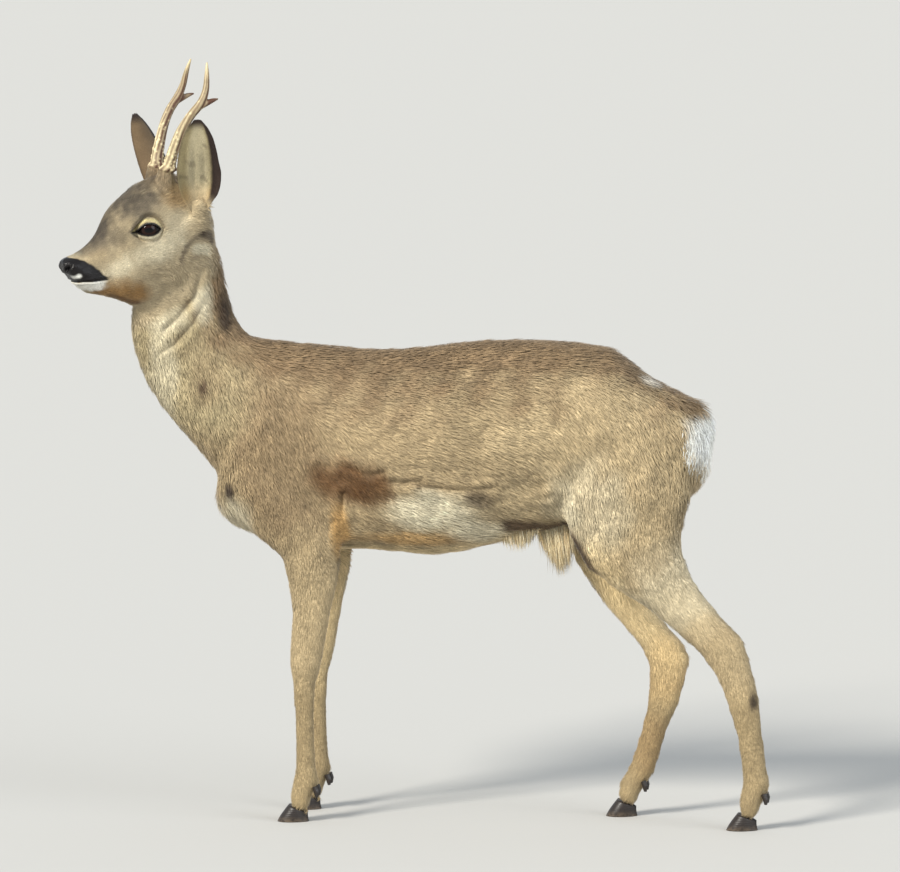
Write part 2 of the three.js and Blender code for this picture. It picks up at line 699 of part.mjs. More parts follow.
// The origin is the middle of the footprint's box, on the ground.
const box = new THREE.Box3().setFromObject(group);
group.position.set(-(box.min.x + box.max.x) / 2, -(box.min.y + box.max.y) / 2, -box.min.z);

export default group;
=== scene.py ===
"""A roe deer buck in winter coat, life size, standing with its head turned a little to its left.

One skin replaces the solids of flesh, and tufts of solid mesh lie over it. Eyes, antlers and claws are
pieces of their own. Metres; the nose points along -X, the buck's left side faces -Y, and +Z is up.
"""

import math
from collections import namedtuple

import bpy
import numpy as np
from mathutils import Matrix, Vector
from mathutils.kdtree import KDTree


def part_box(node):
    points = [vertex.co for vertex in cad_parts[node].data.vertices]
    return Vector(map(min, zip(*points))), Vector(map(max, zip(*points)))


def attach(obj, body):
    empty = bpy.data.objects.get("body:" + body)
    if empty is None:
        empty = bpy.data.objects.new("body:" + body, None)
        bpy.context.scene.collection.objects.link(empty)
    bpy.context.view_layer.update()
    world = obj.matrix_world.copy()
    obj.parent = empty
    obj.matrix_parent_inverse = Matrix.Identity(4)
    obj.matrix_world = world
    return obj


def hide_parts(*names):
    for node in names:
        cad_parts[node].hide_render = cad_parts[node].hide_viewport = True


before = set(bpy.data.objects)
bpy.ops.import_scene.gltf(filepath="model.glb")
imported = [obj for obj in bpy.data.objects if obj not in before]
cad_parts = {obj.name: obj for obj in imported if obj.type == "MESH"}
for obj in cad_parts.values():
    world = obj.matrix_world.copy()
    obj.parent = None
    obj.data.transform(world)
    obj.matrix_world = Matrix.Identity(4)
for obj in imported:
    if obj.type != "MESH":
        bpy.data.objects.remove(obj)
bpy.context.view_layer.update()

# ------------------------------------------------------------------ sizes and places

MM = 0.001
MIDDLE = 0.0206  # y of the body's plane of symmetry
NECK_MIDDLE = -0.002  # y of the neck's, which turns toward the head
VOXEL = 7.3 * MM  # the body's grid; the head is refined from it
SEAM_REACH = 0.7 * MM  # closes the thin cuts between the solids of flesh
COAT_ROOM = 1.1  # the skin lies this many coat depths under the solids
TINY = 1e-12  # keeps a division by nothing away

HEAD_PLACE = np.array([-0.3500, -0.0054, 0.8580])
HEAD_YAW = math.radians(32)
FACE_PITCH = math.radians(22)

EYE_RADIUS = 19 * MM
EYE_SPOT = np.array([76.0, 49.6, 16.0]) * MM  # the cornea's peak: forward, left and up in the level head
EYE_OPENING = {"long": 17.5 * MM, "upper": 8.6 * MM, "lower": 6.8 * MM}
EYE_DROOP = 1.6 * MM  # how much the opening's front corner hangs
EYE_SINK = 3.5 * MM  # how far the skin in the opening lies behind the ball's front

EAR_WIDTH = 31 * MM
EAR_ROOT = np.array([-4, 47, 42]) * MM
EAR_TIPS = {"left": np.array([25, 112, 182]) * MM, "right": np.array([31, 111, 171]) * MM}

FLESH = ("head", "nose", "neck", "trunk", "tail", "eye_left", "eye_right")
LEGS = ("fore_left", "fore_right", "hind_left", "hind_right")
SIDES = {"left": 1, "right": -1}


def linear(red, green, blue):
    """A colour seen as these sRGB values from 0 to 255, in linear light."""
    shares = np.array([red, green, blue]) / 255
    return np.where(shares < 0.04045, shares / 12.92, ((shares + 0.055) / 1.055) ** 2.4)


COLOUR = {
    "back": linear(130, 108, 80),
    "side": linear(166, 146, 112),
    "haunch": linear(180, 160, 124),
    "neck": linear(176, 160, 124),
    "pale": linear(230, 220, 190),
    "white": linear(248, 248, 240),
    "leg": linear(166, 146, 110),
    "ochre": linear(190, 152, 98),
    "straw": linear(222, 198, 150),
    "rust": linear(98, 68, 38),
    "dark": linear(46, 34, 29),
    "black": linear(15, 11, 11),
    "ridge": linear(78, 70, 60),
    "face": linear(168, 152, 122),
    "jaw": linear(140, 106, 62),
    "cream": linear(228, 213, 152),
    "ear_inside": linear(150, 137, 102),
    # fold is painted shade, for the bottoms of the skin's folds and the hollow of the groin
    "fold": 0.5 * linear(98, 68, 38),
    "ear_back": 0.7 * linear(130, 108, 80),
    "pupil": linear(6, 5, 6),
    "iris": linear(34, 17, 11),
    "iris_edge": linear(10, 6, 5),
    # The antler's dark is the own colour of its furrows and burr, and painted shade on its back; its pale is
    # bone on pearls and tips, and painted light on its front
    "antler_furrow_and_shade": linear(88, 56, 38),
    "antler_bone": linear(232, 216, 172),
    "horn": linear(38, 31, 27),
    "worn_horn": linear(112, 96, 78),
}

# ------------------------------------------------------------------ small tools


def unit(vectors):
    length = np.linalg.norm(vectors, axis=-1, keepdims=True)
    return vectors / np.maximum(length, TINY)


def ramp(values, low, high):
    """0 up to low, 1 from high, and smooth in between. low may be above high."""
    share = np.clip((values - low) / (high - low), 0, 1)
    return share * share * (3 - 2 * share)


def between(first, second, share):
    """The first value where the share is 0, the second where it is 1."""
    return first + (second - first) * share


def mixed(first, second, share):
    """Like between, for rows of colours or directions with one share each."""
    return between(first, second, np.asarray(share)[..., None])


def bump(values, middle=0.0, width=1.0):
    """A round hill: 1 at the middle, and about a third of that one width away from it."""
    return np.exp(-(((values - middle) / width) ** 2))


def flattened(vectors, normals):
    """The vectors without their part along the normals."""
    return vectors - normals * (vectors * normals).sum(axis=1, keepdims=True)


def ripple(points, size, seed, waves=7):
    """A smooth pattern from about -1 to 1, whose bumps are about as wide as size."""
    draw = np.random.default_rng(seed)
    total = np.zeros(len(points))
    for _ in range(waves):
        wave = unit(draw.normal(size=3)) * draw.uniform(0.6, 1.5) * math.pi / size
        total += np.sin(points @ wave + draw.uniform(0, 2 * math.pi))
    return total / math.sqrt(waves)


def head_axes():
    """The level head's forward, left and up directions, as rows."""
    forward = (-math.cos(HEAD_YAW), -math.sin(HEAD_YAW), 0)
    left = (math.sin(HEAD_YAW), -math.cos(HEAD_YAW), 0)
    return np.array([forward, left, (0, 0, 1)])


def face_axes():
    """The face's directions: along it to the nose, left, and up from it."""
    forward, left, up = head_axes()
    along = forward * math.cos(FACE_PITCH) - up * math.sin(FACE_PITCH)
    return np.array([along, left, forward * math.sin(FACE_PITCH) + up * math.cos(FACE_PITCH)])


HEAD, FACE = head_axes(), face_axes()
BACKWARD, UPWARD = np.array([1.0, 0, 0]), np.array([0, 0, 1.0])


def seen_from(points, axes, origin=HEAD_PLACE):
    return (points - origin) @ axes.T


def placed_by(local, axes, origin=HEAD_PLACE):
    return np.asarray(local) @ axes + origin


def both_sides(rows):
    """Each row of (x, out, ...) as it is, and once more mirrored where it lies off the middle."""
    result = []
    for row in rows:
        result.append(row)
        if row[1] != 0:
            result.append((row[0], -row[1], *row[2:]))
    return result


# ------------------------------------------------------------------ meshes as arrays


def arrays_of(mesh):
    """A mesh's points and triangles."""
    points = np.empty(len(mesh.vertices) * 3, np.float32)
    mesh.vertices.foreach_get("co", points)
    mesh.calc_loop_triangles()
    triangles = np.empty(len(mesh.loop_triangles) * 3, np.int32)
    mesh.loop_triangles.foreach_get("vertices", triangles)
    return points.reshape(-1, 3).astype(float), triangles.reshape(-1, 3)


def welded(points, triangles):
    """The same triangles with points that lie together, to the micrometre, made one."""
    micrometres = np.round(points * 1e6)
    _, first, where = np.unique(micrometres, axis=0, return_index=True, return_inverse=True)
    triangles = where.ravel()[triangles]
    a, b, c = triangles.T
    return points[first], triangles[(a != b) & (b != c) & (c != a)]


def new_mesh(name, points, triangles):
    mesh = bpy.data.meshes.new(name)
    mesh.vertices.add(len(points))
    mesh.vertices.foreach_set("co", points.astype(np.float32).ravel())
    mesh.loops.add(len(triangles) * 3)
    mesh.loops.foreach_set("vertex_index", triangles.astype(np.int32).ravel())
    mesh.polygons.add(len(triangles))
    mesh.polygons.foreach_set("loop_start", np.arange(0, len(triangles) * 3, 3, dtype=np.int32))
    mesh.polygons.foreach_set("use_smooth", np.ones(len(triangles), bool))
    mesh.update(calc_edges=True)
    return mesh


def new_object(name, mesh):
    piece = bpy.data.objects.new(name, mesh)
    bpy.context.scene.collection.objects.link(piece)
    return piece


def new_piece(name, points, triangles, material, slot, replaced=()):
    """A piece of the buck, riding on its one body."""
    piece = new_object(name, new_mesh(name, points, triangles))
    piece.data.materials.append(material)
    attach(piece, "root")
    if replaced:
        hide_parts(*replaced)
    return piece


def modified(points, triangles, kind, **settings):
    """The arrays of a mesh after one modifier."""
    source = new_object("source", new_mesh("source", points, triangles))
    modifier = source.modifiers.new(kind, kind)
    for name, value in settings.items():
        setattr(modifier, name, value)
    graph = bpy.context.evaluated_depsgraph_get()
    result = bpy.data.meshes.new_from_object(source.evaluated_get(graph))
    arrays = arrays_of(result)
    for mesh in (source.data, result):
        bpy.data.meshes.remove(mesh)
    return arrays


def voxelled(points, triangles, size):
    """One closed surface round overlapping ones, on a grid of this size."""
    return modified(points, triangles, "REMESH", mode="VOXEL", voxel_size=size)


def edges_from_corner(points, triangles):
    """Each triangle's two edges that leave its first corner."""
    a, b, c = (points[triangles[:, corner]] for corner in range(3))
    return b - a, c - a


def triangle_areas(points, triangles):
    return np.linalg.norm(np.cross(*edges_from_corner(points, triangles)), axis=1) / 2


def point_normals(points, triangles):
    faces = np.cross(*edges_from_corner(points, triangles))
    normals = np.zeros_like(points)
    for corner in range(3):
        for axis in range(3):
            normals[:, axis] += np.bincount(triangles[:, corner], faces[:, axis], len(points))
    return unit(normals)


def edge_pairs(points, triangles):
    """Each edge once as a pair of points, and for each triangle its three edges' numbers."""
    ends = np.sort(triangles[:, [[0, 1], [1, 2], [2, 0]]].reshape(-1, 2), axis=1).astype(np.int64)
    keys, where = np.unique(ends[:, 0] * len(points) + ends[:, 1], return_inverse=True)
    return np.stack([keys // len(points), keys % len(points)], axis=1), where.reshape(-1, 3)


STEP_IN, STEP_OUT = 0.5, -0.52  # how far a point goes toward the mean of its neighbours, and back


def relaxed(points, triangles, rounds, weight=1.0, shrink=False):
    """Smooths a surface. Unless it may shrink, each round steps out again as far as it came in."""
    edges, _ = edge_pairs(points, triangles)
    start, end = np.concatenate([edges, edges[:, ::-1]]).T
    count = np.maximum(np.bincount(start, minlength=len(points)), 1)[:, None]
    weight = np.broadcast_to(weight, len(points))[:, None]
    steps = (STEP_IN,) if shrink else (STEP_IN, STEP_OUT)
    for step in steps * rounds:
        near = [np.bincount(start, points[end, axis], len(points)) for axis in range(3)]
        points = points + (np.stack(near, axis=1) / count - points) * step * weight
    return points


def refined(points, triangles, chosen):
    """Splits each chosen triangle into four, and its neighbours as far as it takes to stay closed."""
    edges, sides = edge_pairs(points, triangles)
    split = np.zeros(len(edges), bool)
    split[sides[chosen].ravel()] = True
    middle = np.full(len(edges), -1)
    middle[split] = len(points) + np.arange(split.sum())
    points = np.concatenate([points, points[edges[split]].mean(axis=1)])
    cuts = middle[sides]
    cut = cuts >= 0
    number = cut.sum(axis=1)
    made = [triangles[number == 0]]
    first = {1: np.argmax(cut, axis=1), 2: np.argmax(~cut, axis=1) + 1, 3: np.zeros(len(cuts), int)}
    for count, start in first.items():
        rows = np.flatnonzero(number == count)
        order = (start[rows, None] + np.arange(3)) % 3
        a, b, c = np.take_along_axis(triangles[rows], order, 1).T
        ab, bc, ca = np.take_along_axis(cuts[rows], order, 1).T
        parts = {
            1: ((a, ab, c), (ab, b, c)),
            2: ((ab, b, bc), (a, ab, bc), (a, bc, c)),
            3: ((a, ab, ca), (ab, b, bc), (ca, bc, c), (ab, bc, ca)),
        }
        made += [np.stack(corners, axis=1) for corners in parts[count]]
    return points, np.concatenate(made)


def refined_where(points, triangles, chooser, smoothing=3):
    """Splits the triangles that chooser(points) picks, and smooths what that made."""
    before = len(points)
    points, triangles = refined(points, triangles, chooser(points)[triangles].any(axis=1))
    fresh = np.zeros(len(points))
    fresh[before:] = 1
    fresh[triangles[(fresh[triangles] > 0).any(axis=1)].ravel()] = 1
    return relaxed(points, triangles, smoothing, fresh), triangles


def cad_arrays(name):
    """A CAD node's welded points and triangles, grown just enough to close the cut beside it."""
    points, triangles = welded(*arrays_of(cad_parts[name].data))
    return points + point_normals(points, triangles) * SEAM_REACH, triangles


def joined(parts):
    """Several (points, triangles) as one."""
    points, triangles, start = [], [], 0
    for part_points, part_triangles in parts:
        points.append(part_points)
        triangles.append(part_triangles + start)
        start += len(part_points)
    return np.concatenate(points), np.concatenate(triangles)


def along_spline(rows, count):
    """Rows read by a Catmull-Rom spline at count even places."""
    rows = np.asarray(rows, float)
    padded = np.concatenate([2 * rows[:1] - rows[1:2], rows, 2 * rows[-1:] - rows[-2:-1]])
    place = np.linspace(0, len(rows) - 1, count)
    index = np.minimum(place.astype(int), len(rows) - 2)
    t = (place - index)[:, None]
    a, b, c, d = (padded[index + k] for k in range(4))
    return 0.5 * (2 * b + (c - a) * t + (2 * a - 5 * b + 4 * c - d) * t**2 + (3 * b - a - 3 * c + d) * t**3)


def outward(points, triangles):
    """The triangles turned so that a closed surface faces out."""
    a, b, c = (points[triangles[:, corner]] for corner in range(3))
    return triangles if (a * np.cross(b, c)).sum() > 0 else triangles[:, ::-1]


def capped_rings(rings, ends=None):
    """A closed surface over rings of points, with a fan on each end about its middle or a given point."""
    rings = np.asarray(rings)
    count, sides = rings.shape[:2]
    ends = rings[[0, -1]].mean(axis=1) if ends is None else ends
    points = np.concatenate([rings.reshape(-1, 3), ends])
    number = np.arange(count * sides).reshape(count, sides)
    following = np.roll(number, -1, axis=1)
    a, b, c, d = (part.ravel() for part in (number[:-1], following[:-1], number[1:], following[1:]))
    low, high = np.full((2, sides), count * sides) + [[0], [1]]
    faces = ((a, b, d), (a, d, c), (low, following[0], number[0]), (high, number[-1], following[-1]))
    triangles = np.concatenate([np.stack(corners, axis=1) for corners in faces])
    return points, outward(points, triangles)


ROD_START = (0.3, 1.0, 0.2)  # no rod runs this way, so every ring can begin square to it


def rod(rows, rings, sides):
    """A closed round length through rows of (x, y, z, radius)."""
    rows = along_spline(rows, rings)
    path, radius = rows[:, :3], rows[:, 3]
    along = unit(np.gradient(path, axis=0))
    u = unit(np.cross(along, ROD_START))
    v = np.cross(along, u)
    turns = np.linspace(0, 2 * math.pi, sides, endpoint=False)[:, None]
    ring = u[:, None] * np.cos(turns) + v[:, None] * np.sin(turns)
    return capped_rings(path[:, None] + ring * radius[:, None, None], path[[0, -1]])


# ------------------------------------------------------------------ camera, light and floor

PHOTO_WIDTH = 900  # pixels; the frame is 900 by 872
METRES_PER_PIXEL = 1.47 * MM
CAMERA_AZIMUTH, CAMERA_ELEVATION = math.radians(8), math.radians(7)
CAMERA_DISTANCE = 20.0
CAMERA_AIM = {"right": 0.0427, "up": 0.5633}  # from the origin, in the picture's own directions
CAMERA_REACH = 1000.0
SENSOR_WIDTH = 36.0


def add_camera():
    azimuth, elevation = CAMERA_AZIMUTH, CAMERA_ELEVATION
    right = Vector((math.cos(azimuth), math.sin(azimuth), 0))
    ahead = Vector((-math.sin(azimuth) * math.cos(elevation), math.cos(azimuth) * math.cos(elevation), 0))
    ahead.z = -math.sin(elevation)
    up = right.cross(ahead)
    data = bpy.data.cameras.new("camera")
    data.sensor_width = SENSOR_WIDTH
    data.lens = SENSOR_WIDTH * CAMERA_DISTANCE / (PHOTO_WIDTH * METRES_PER_PIXEL)
    data.clip_end = CAMERA_REACH
    camera = new_object("camera", data)
    camera.location = right * CAMERA_AIM["right"] + up * CAMERA_AIM["up"] - ahead * CAMERA_DISTANCE
    camera.rotation_euler = ahead.to_track_quat("-Z", "Y").to_euler()
    bpy.context.scene.camera = camera


# Each light: name, energy, width in degrees, colour, the way its light goes.
LIGHTS = (
    ("key", 4.0, 16, (1.0, 0.96, 0.88), (0.50, 0.74, -0.60)),
    ("fill", 1.3, 40, (0.92, 0.96, 1.0), (-0.80, 0.40, -0.40)),
)
SURROUND_COLOUR, SURROUND_STRENGTH = (0.86, 0.93, 1.0, 1), 0.66
FLOOR_COLOUR, FLOOR_ROUGHNESS, FLOOR_HALF = (0.52, 0.51, 0.485, 1), 0.9, 300.0


def add_light():
    """A soft key from the left and above, a weak fill from the right, and an even pale surround."""
    for name, energy, width, colour, way in LIGHTS:
        light = bpy.data.lights.new(name, "SUN")
        light.energy = energy
        light.angle = math.radians(width)
        light.color = colour
        new_object(name, light).rotation_euler = Vector(way).to_track_quat("-Z", "Y").to_euler()
    world = bpy.data.worlds.new("surround")
    world.use_nodes = True
    surround = world.node_tree.nodes["Background"].inputs
    surround["Color"].default_value = SURROUND_COLOUR
    surround["Strength"].default_value = SURROUND_STRENGTH
    bpy.context.scene.world = world
    bpy.context.scene.view_settings.view_transform = "Standard"


def add_floor():
    corners = np.array([(-1, -1, 0), (1, -1, 0), (1, 1, 0), (-1, 1, 0)]) * FLOOR_HALF
    floor = new_object("floor", new_mesh("floor", corners, np.array([(0, 1, 2), (0, 2, 3)])))
    material = bpy.data.materials.new("floor")
    material.use_nodes = True
    shader = material.node_tree.nodes["Principled BSDF"]
    shader.inputs["Base Color"].default_value = FLOOR_COLOUR
    shader.inputs["Roughness"].default_value = FLOOR_ROUGHNESS
    floor.data.materials.append(material)


# ------------------------------------------------------------------ how the coat lies

# Each row: place (x, out from the middle, z), lie (back, out, up), hair length in mm, lift in degrees.
BODY_COAT = (
    (-0.262, 0.00, 0.735, (0.70, 0.0, -0.60), 24, 15),
    (-0.200, 0.00, 0.705, (1.00, 0.0, -0.15), 24, 14),
    (-0.305, 0.00, 0.620, (0.35, 0.0, -1.00), 24, 15),
    (-0.300, 0.00, 0.520, (0.30, 0.0, -1.00), 25, 17),
    (-0.262, 0.05, 0.620, (0.55, 0.0, -0.85), 22, 14),
    (-0.250, 0.05, 0.470, (0.55, 0.0, -0.90), 20, 14),
    (-0.235, 0.00, 0.415, (1.00, 0.0, -0.30), 22, 14),
    (-0.190, 0.08, 0.560, (0.50, 0.0, -0.85), 20, 12),
    (-0.190, 0.08, 0.440, (0.30, 0.0, -1.00), 15, 11),
    (-0.120, 0.09, 0.640, (0.90, 0.0, -0.45), 22, 12),
    (-0.100, 0.08, 0.500, (0.80, 0.0, -0.60), 20, 13),
    (-0.100, 0.03, 0.400, (1.00, 0.0, -0.10), 20, 12),
    (-0.030, 0.00, 0.700, (1.00, 0.0, -0.02), 24, 13),
    (0.000, 0.10, 0.600, (1.00, 0.0, -0.40), 23, 12),
    (0.020, 0.09, 0.470, (1.00, 0.0, -0.35), 24, 14),
    (0.020, 0.00, 0.392, (1.00, 0.0, -0.05), 22, 12),
    (0.120, 0.00, 0.708, (1.00, 0.0, -0.02), 25, 13),
    (0.130, 0.09, 0.600, (1.00, 0.0, -0.40), 24, 12),
    (0.140, 0.08, 0.490, (0.90, 0.0, -0.60), 25, 15),
    (0.120, 0.03, 0.415, (1.00, 0.0, -0.30), 28, 16),
    (0.240, 0.00, 0.705, (1.00, 0.0, -0.10), 26, 13),
    (0.260, 0.08, 0.600, (0.75, 0.0, -0.75), 23, 12),
    (0.240, 0.08, 0.480, (0.40, 0.0, -1.00), 20, 12),
    (0.330, 0.00, 0.670, (1.00, 0.0, -0.55), 27, 15),
    (0.350, 0.07, 0.580, (0.50, 0.0, -0.95), 23, 13),
    (0.330, 0.07, 0.460, (0.20, 0.0, -1.00), 17, 12),
    (0.420, 0.00, 0.610, (0.25, 0.0, -1.00), 28, 22),
    (0.420, 0.04, 0.560, (0.10, 0.5, -1.00), 28, 24),
    (0.400, 0.03, 0.490, (0.00, 0.2, -1.00), 22, 16),
)
# The legs: x, z, how much the hair leans back, its length in mm and its lift in degrees.
FORE_COAT = (
    (-0.176, 0.370, 0.05, 11, 11),
    (-0.160, 0.290, 0.03, 9, 10),
    (-0.165, 0.230, -0.05, 8, 10),
    (-0.167, 0.140, 0.00, 7, 9),
    (-0.165, 0.060, 0.10, 7, 11),
    (-0.178, 0.020, -0.60, 7, 11),
)
HIND_BACK_COAT = (
    (0.330, 0.370, 0.60, 14, 11),
    (0.415, 0.300, 0.85, 11, 10),
    (0.470, 0.235, 0.30, 9, 10),
    (0.485, 0.150, 0.15, 7, 9),
    (0.500, 0.070, 0.05, 7, 11),
    (0.488, 0.020, -0.60, 7, 11),
)
HIND_FORWARD_COAT = (
    (0.270, 0.370, 0.40, 14, 11),
    (0.320, 0.290, 0.75, 11, 10),
    (0.358, 0.225, 0.15, 9, 10),
    (0.345, 0.150, -0.20, 7, 9),
    (0.315, 0.070, -0.15, 7, 11),
    (0.295, 0.020, -0.60, 7, 11),
)
# Each table for the legs, how far out from the middle it lies, and its sides.
LEG_COATS = ((FORE_COAT, 0.062, (1, -1)), (HIND_BACK_COAT, 0.058, (1,)), (HIND_FORWARD_COAT, 0.058, (-1,)))
# The neck, which turns with the head: place (x, left of its own middle, z).
NECK_COAT = (
    (-0.300, 0.00, 0.800, (0.30, 0.0, -1.0), 18, 13),
    (-0.345, 0.045, 0.800, (0.25, 0.0, -1.0), 14, 11),
    (-0.405, 0.00, 0.740, (0.10, 0.0, -1.0), 17, 13),
    (-0.285, 0.00, 0.745, (0.50, 0.0, -0.9), 20, 14),
    (-0.345, 0.045, 0.710, (0.30, 0.0, -1.0), 17, 11),
    (-0.390, 0.00, 0.660, (0.25, 0.0, -1.0), 19, 13),
    (-0.310, 0.055, 0.650, (0.45, 0.0, -0.9), 19, 12),
)
# The head, in the face's directions: place (along, left, up) and lie (along, left, up).
FACE_COAT = (
    (0.190, 0.000, 0.030, (-1.0, 0.0, 0.10), 2.2, 10),
    (0.180, 0.018, 0.010, (-0.8, 0.3, -0.30), 2.6, 10),
    (0.165, 0.000, 0.050, (-1.0, 0.0, 0.20), 3.2, 9),
    (0.150, 0.022, 0.020, (-1.0, 0.1, 0.00), 4, 9),
    (0.150, 0.018, -0.020, (-1.0, 0.1, -0.20), 5, 10),
    (0.120, 0.000, 0.062, (-1.0, 0.1, 0.40), 5, 9),
    (0.115, 0.032, 0.020, (-1.0, 0.0, -0.10), 5, 9),
    (0.110, 0.025, -0.045, (-1.0, 0.0, -0.40), 7, 10),
    (0.085, 0.000, 0.088, (-1.0, 0.1, 0.55), 8, 10),
    (0.065, 0.043, 0.010, (-1.0, 0.0, -0.20), 7, 9),
    (0.065, 0.040, 0.070, (-1.0, 0.1, 0.20), 5, 9),
    (0.060, 0.038, -0.060, (-1.0, 0.0, -0.60), 10, 11),
    (0.040, 0.020, 0.103, (-1.0, 0.2, 0.20), 9, 12),
    (0.020, 0.046, 0.030, (-1.0, 0.1, -0.10), 9, 10),
    (0.015, 0.044, -0.040, (-1.0, 0.0, -0.80), 12, 12),
    (0.000, 0.000, 0.104, (-1.0, 0.1, 0.05), 12, 14),
    (-0.030, 0.000, 0.090, (-1.0, 0.0, -0.60), 15, 13),
    (-0.025, 0.040, 0.010, (-0.9, 0.0, -0.90), 13, 13),
)

LIFT_SCALE = 0.8  # the hairs lie this much flatter than the tables say
BODY_LENGTH_SCALE = 0.82  # how much of a winter hair shows past the hairs that lie over its root
FOLD_HAIR_CUT = 0.45  # how much shorter the hair looks where the skin folds in


def coat_guides():
    """Every guide's place, lie, length and lift in the shared frame."""
    places, lies, sizes = [], [], []

    def add(place, lie, length, lift):
        places.append(place)
        lies.append(unit(np.array(lie, float)))
        sizes.append((length * MM, math.radians(lift) * LIFT_SCALE))

    for x, out, z, lie, length, lift in both_sides(BODY_COAT):
        mirrored = (lie[0], -math.copysign(lie[1], out) if lie[1] else 0, lie[2])
        add((x, MIDDLE - out, z), mirrored, length * BODY_LENGTH_SCALE, lift)
    for rows, out, sides in LEG_COATS:
        for x, z, back, length, lift in rows:
            for side in sides:
                add((x, MIDDLE - side * out, z), (back, 0, -1), length, lift)
    for x, left, z, lie, length, lift in both_sides(NECK_COAT):
        add((x, NECK_MIDDLE - left, z), lie, length, lift)
    for along, left, up, lie, length, lift in both_sides(FACE_COAT):
        mirrored = np.array((lie[0], math.copysign(1, left) * lie[1], lie[2]))
        add(placed_by((along, left, up), FACE), mirrored @ FACE, length, lift)
    return np.array(places), np.array(lies), np.array(sizes)


GUIDES = coat_guides()
GUIDE_SOFTNESS, GUIDE_FALL = 14 * MM, 2.2  # how smoothly one guide gives way to the next
POINTS_AT_ONCE = 20000

# Hair on the ears in mm: its length on the back, what the inside adds and the tip takes away.
EAR_HAIR = {"length": 3.0, "inside": 6, "tip": 1.4}
EAR_LIFT, EAR_INSIDE_LIFT = math.radians(4), 0.07
PEDICLE_HAIR = 9 * MM


def guided_coat(points):
    """The direction, the length and the lift that the guides around each point give it."""
    places, lies, sizes = GUIDES
    lie = np.empty_like(points)
    size = np.empty((len(points), 2))
    for start in range(0, len(points), POINTS_AT_ONCE):
        part = slice(start, start + POINTS_AT_ONCE)
        gap = ((points[part, None] - places[None]) ** 2).sum(axis=2)
        weight = 1 / (gap + GUIDE_SOFTNESS**2) ** GUIDE_FALL
        weight /= weight.sum(axis=1, keepdims=True)
        lie[part] = weight @ lies
        size[part] = weight @ sizes
    return lie, *size.T


def coat_at(points, normals):
    """How the coat lies at these points: its direction along the skin, its length and its lift."""
    lie, length, lift = guided_coat(points)
    lie = flattened(lie, normals)
    length = length * (1 - FOLD_HAIR_CUT * fold_share(points))
    for side in SIDES:
        on_ear = ear_share(points, side)
        root, ear_length, ear = ear_frame(side)
        x, _, z = seen_from(points, ear, root).T / ear_length
        inside = faces_cup(normals, ear) * ramp(np.abs(x), 0.17, 0.09)
        inside = inside * ramp(z, 0.80, 0.55) * ramp(z, 0.12, 0.26)
        toward = ear[2] + 0.35 * inside[:, None] * ear[0]
        lie = mixed(lie, unit(flattened(toward, normals)), on_ear)
        ear_hair = EAR_HAIR["length"] + EAR_HAIR["inside"] * inside - EAR_HAIR["tip"] * ramp(z, 0.75, 0.95)
        length = between(length, ear_hair * MM, on_ear)
        lift = between(lift, EAR_LIFT + EAR_INSIDE_LIFT * inside, on_ear)
    up, gap = pedicle_gap(points)
    on_stump = ramp(gap, 17 * MM, 12 * MM) * ramp(up, 66 * MM, 76 * MM) * ramp(up, 112 * MM, 106 * MM)
    upward = UPWARD - normals * normals[:, 2:]
    return unit(mixed(lie, upward, on_stump)), between(length, PEDICLE_HAIR, on_stump), lift


# ------------------------------------------------------------------ ears

EAR_CUP_WAY = np.array([0.42, 0.9, -0.2])  # where the cup opens: forward, left and up in the level head


def ear_frame(side):
    """An ear's root, its length, and its directions: backward, out of its back, and to its tip."""
    tip = EAR_TIPS[side] - EAR_ROOT
    length = np.linalg.norm(tip)
    mirror = np.array([1, SIDES[side], 1])
    up = (tip / length * mirror) @ HEAD
    cup = (EAR_CUP_WAY * mirror) @ HEAD
    cup = unit(cup - up * (cup @ up))
    backward = np.cross(up, cup) * SIDES[side]
    return placed_by(EAR_ROOT * mirror, HEAD), length, np.array([backward, -cup, up])


def faces_cup(normals, ear):
    """1 where a surface faces into the ear's cup, 0 on its back."""
    return ramp(-(normals @ ear[1]), -0.1, 0.4)


def ear_share(points, side):
    """1 on an ear, 0 off it, from its place in the ear's own frame."""
    root, length, axes = ear_frame(side)
    x, y, z = seen_from(points, axes, root).T
    inside = ramp(z, 0.04 * length, 0.2 * length) * ramp(z, 1.12 * length, 1.06 * length)
    return inside * ramp(np.abs(x), 44 * MM, 38 * MM) * ramp(np.abs(y), 30 * MM, 24 * MM)


# Across the ear: share of its length, half width as a share of EAR_WIDTH, cup depth and wall in mm.
EAR_ROWS = np.array(
    [
        (-0.10, 0.30, 8, 14),
        (0.04, 0.50, 15, 11),
        (0.16, 0.84, 18, 6.0),
        (0.30, 1.00, 17, 3.8),
        (0.46, 1.02, 12.5, 3.0),
        (0.64, 0.92, 9, 2.6),
        (0.80, 0.74, 5.5, 2.2),
        (0.91, 0.50, 3.0, 1.8),
        (0.97, 0.28, 1.5, 1.4),
        (1.00, 0.10, 0.5, 1.0),
    ]
)
EAR_RINGS, EAR_HALF_SIDES = 60, 22
EAR_END = 0.995  # the last ring's share of the length
EAR_CROWDING = 0.8  # under 1 it sets the points of a ring closer toward its rims
EVENING = np.array([1, 2, 3, 2, 1]) / 9  # the share each neighbouring ring has in evening out a row


def ear_profile():
    """Each ring's share of the ear's length, with its half width, cup depth and wall."""
    shares = np.linspace(EAR_ROWS[0, 0], EAR_END, EAR_RINGS)
    rows = [np.interp(shares, EAR_ROWS[:, 0], EAR_ROWS[:, column]) for column in (1, 2, 3)]
    width, cup, wall = (np.convolve(np.pad(row, 2, "edge"), EVENING, "valid") for row in rows)
    return shares, width * EAR_WIDTH, cup * MM, wall * MM


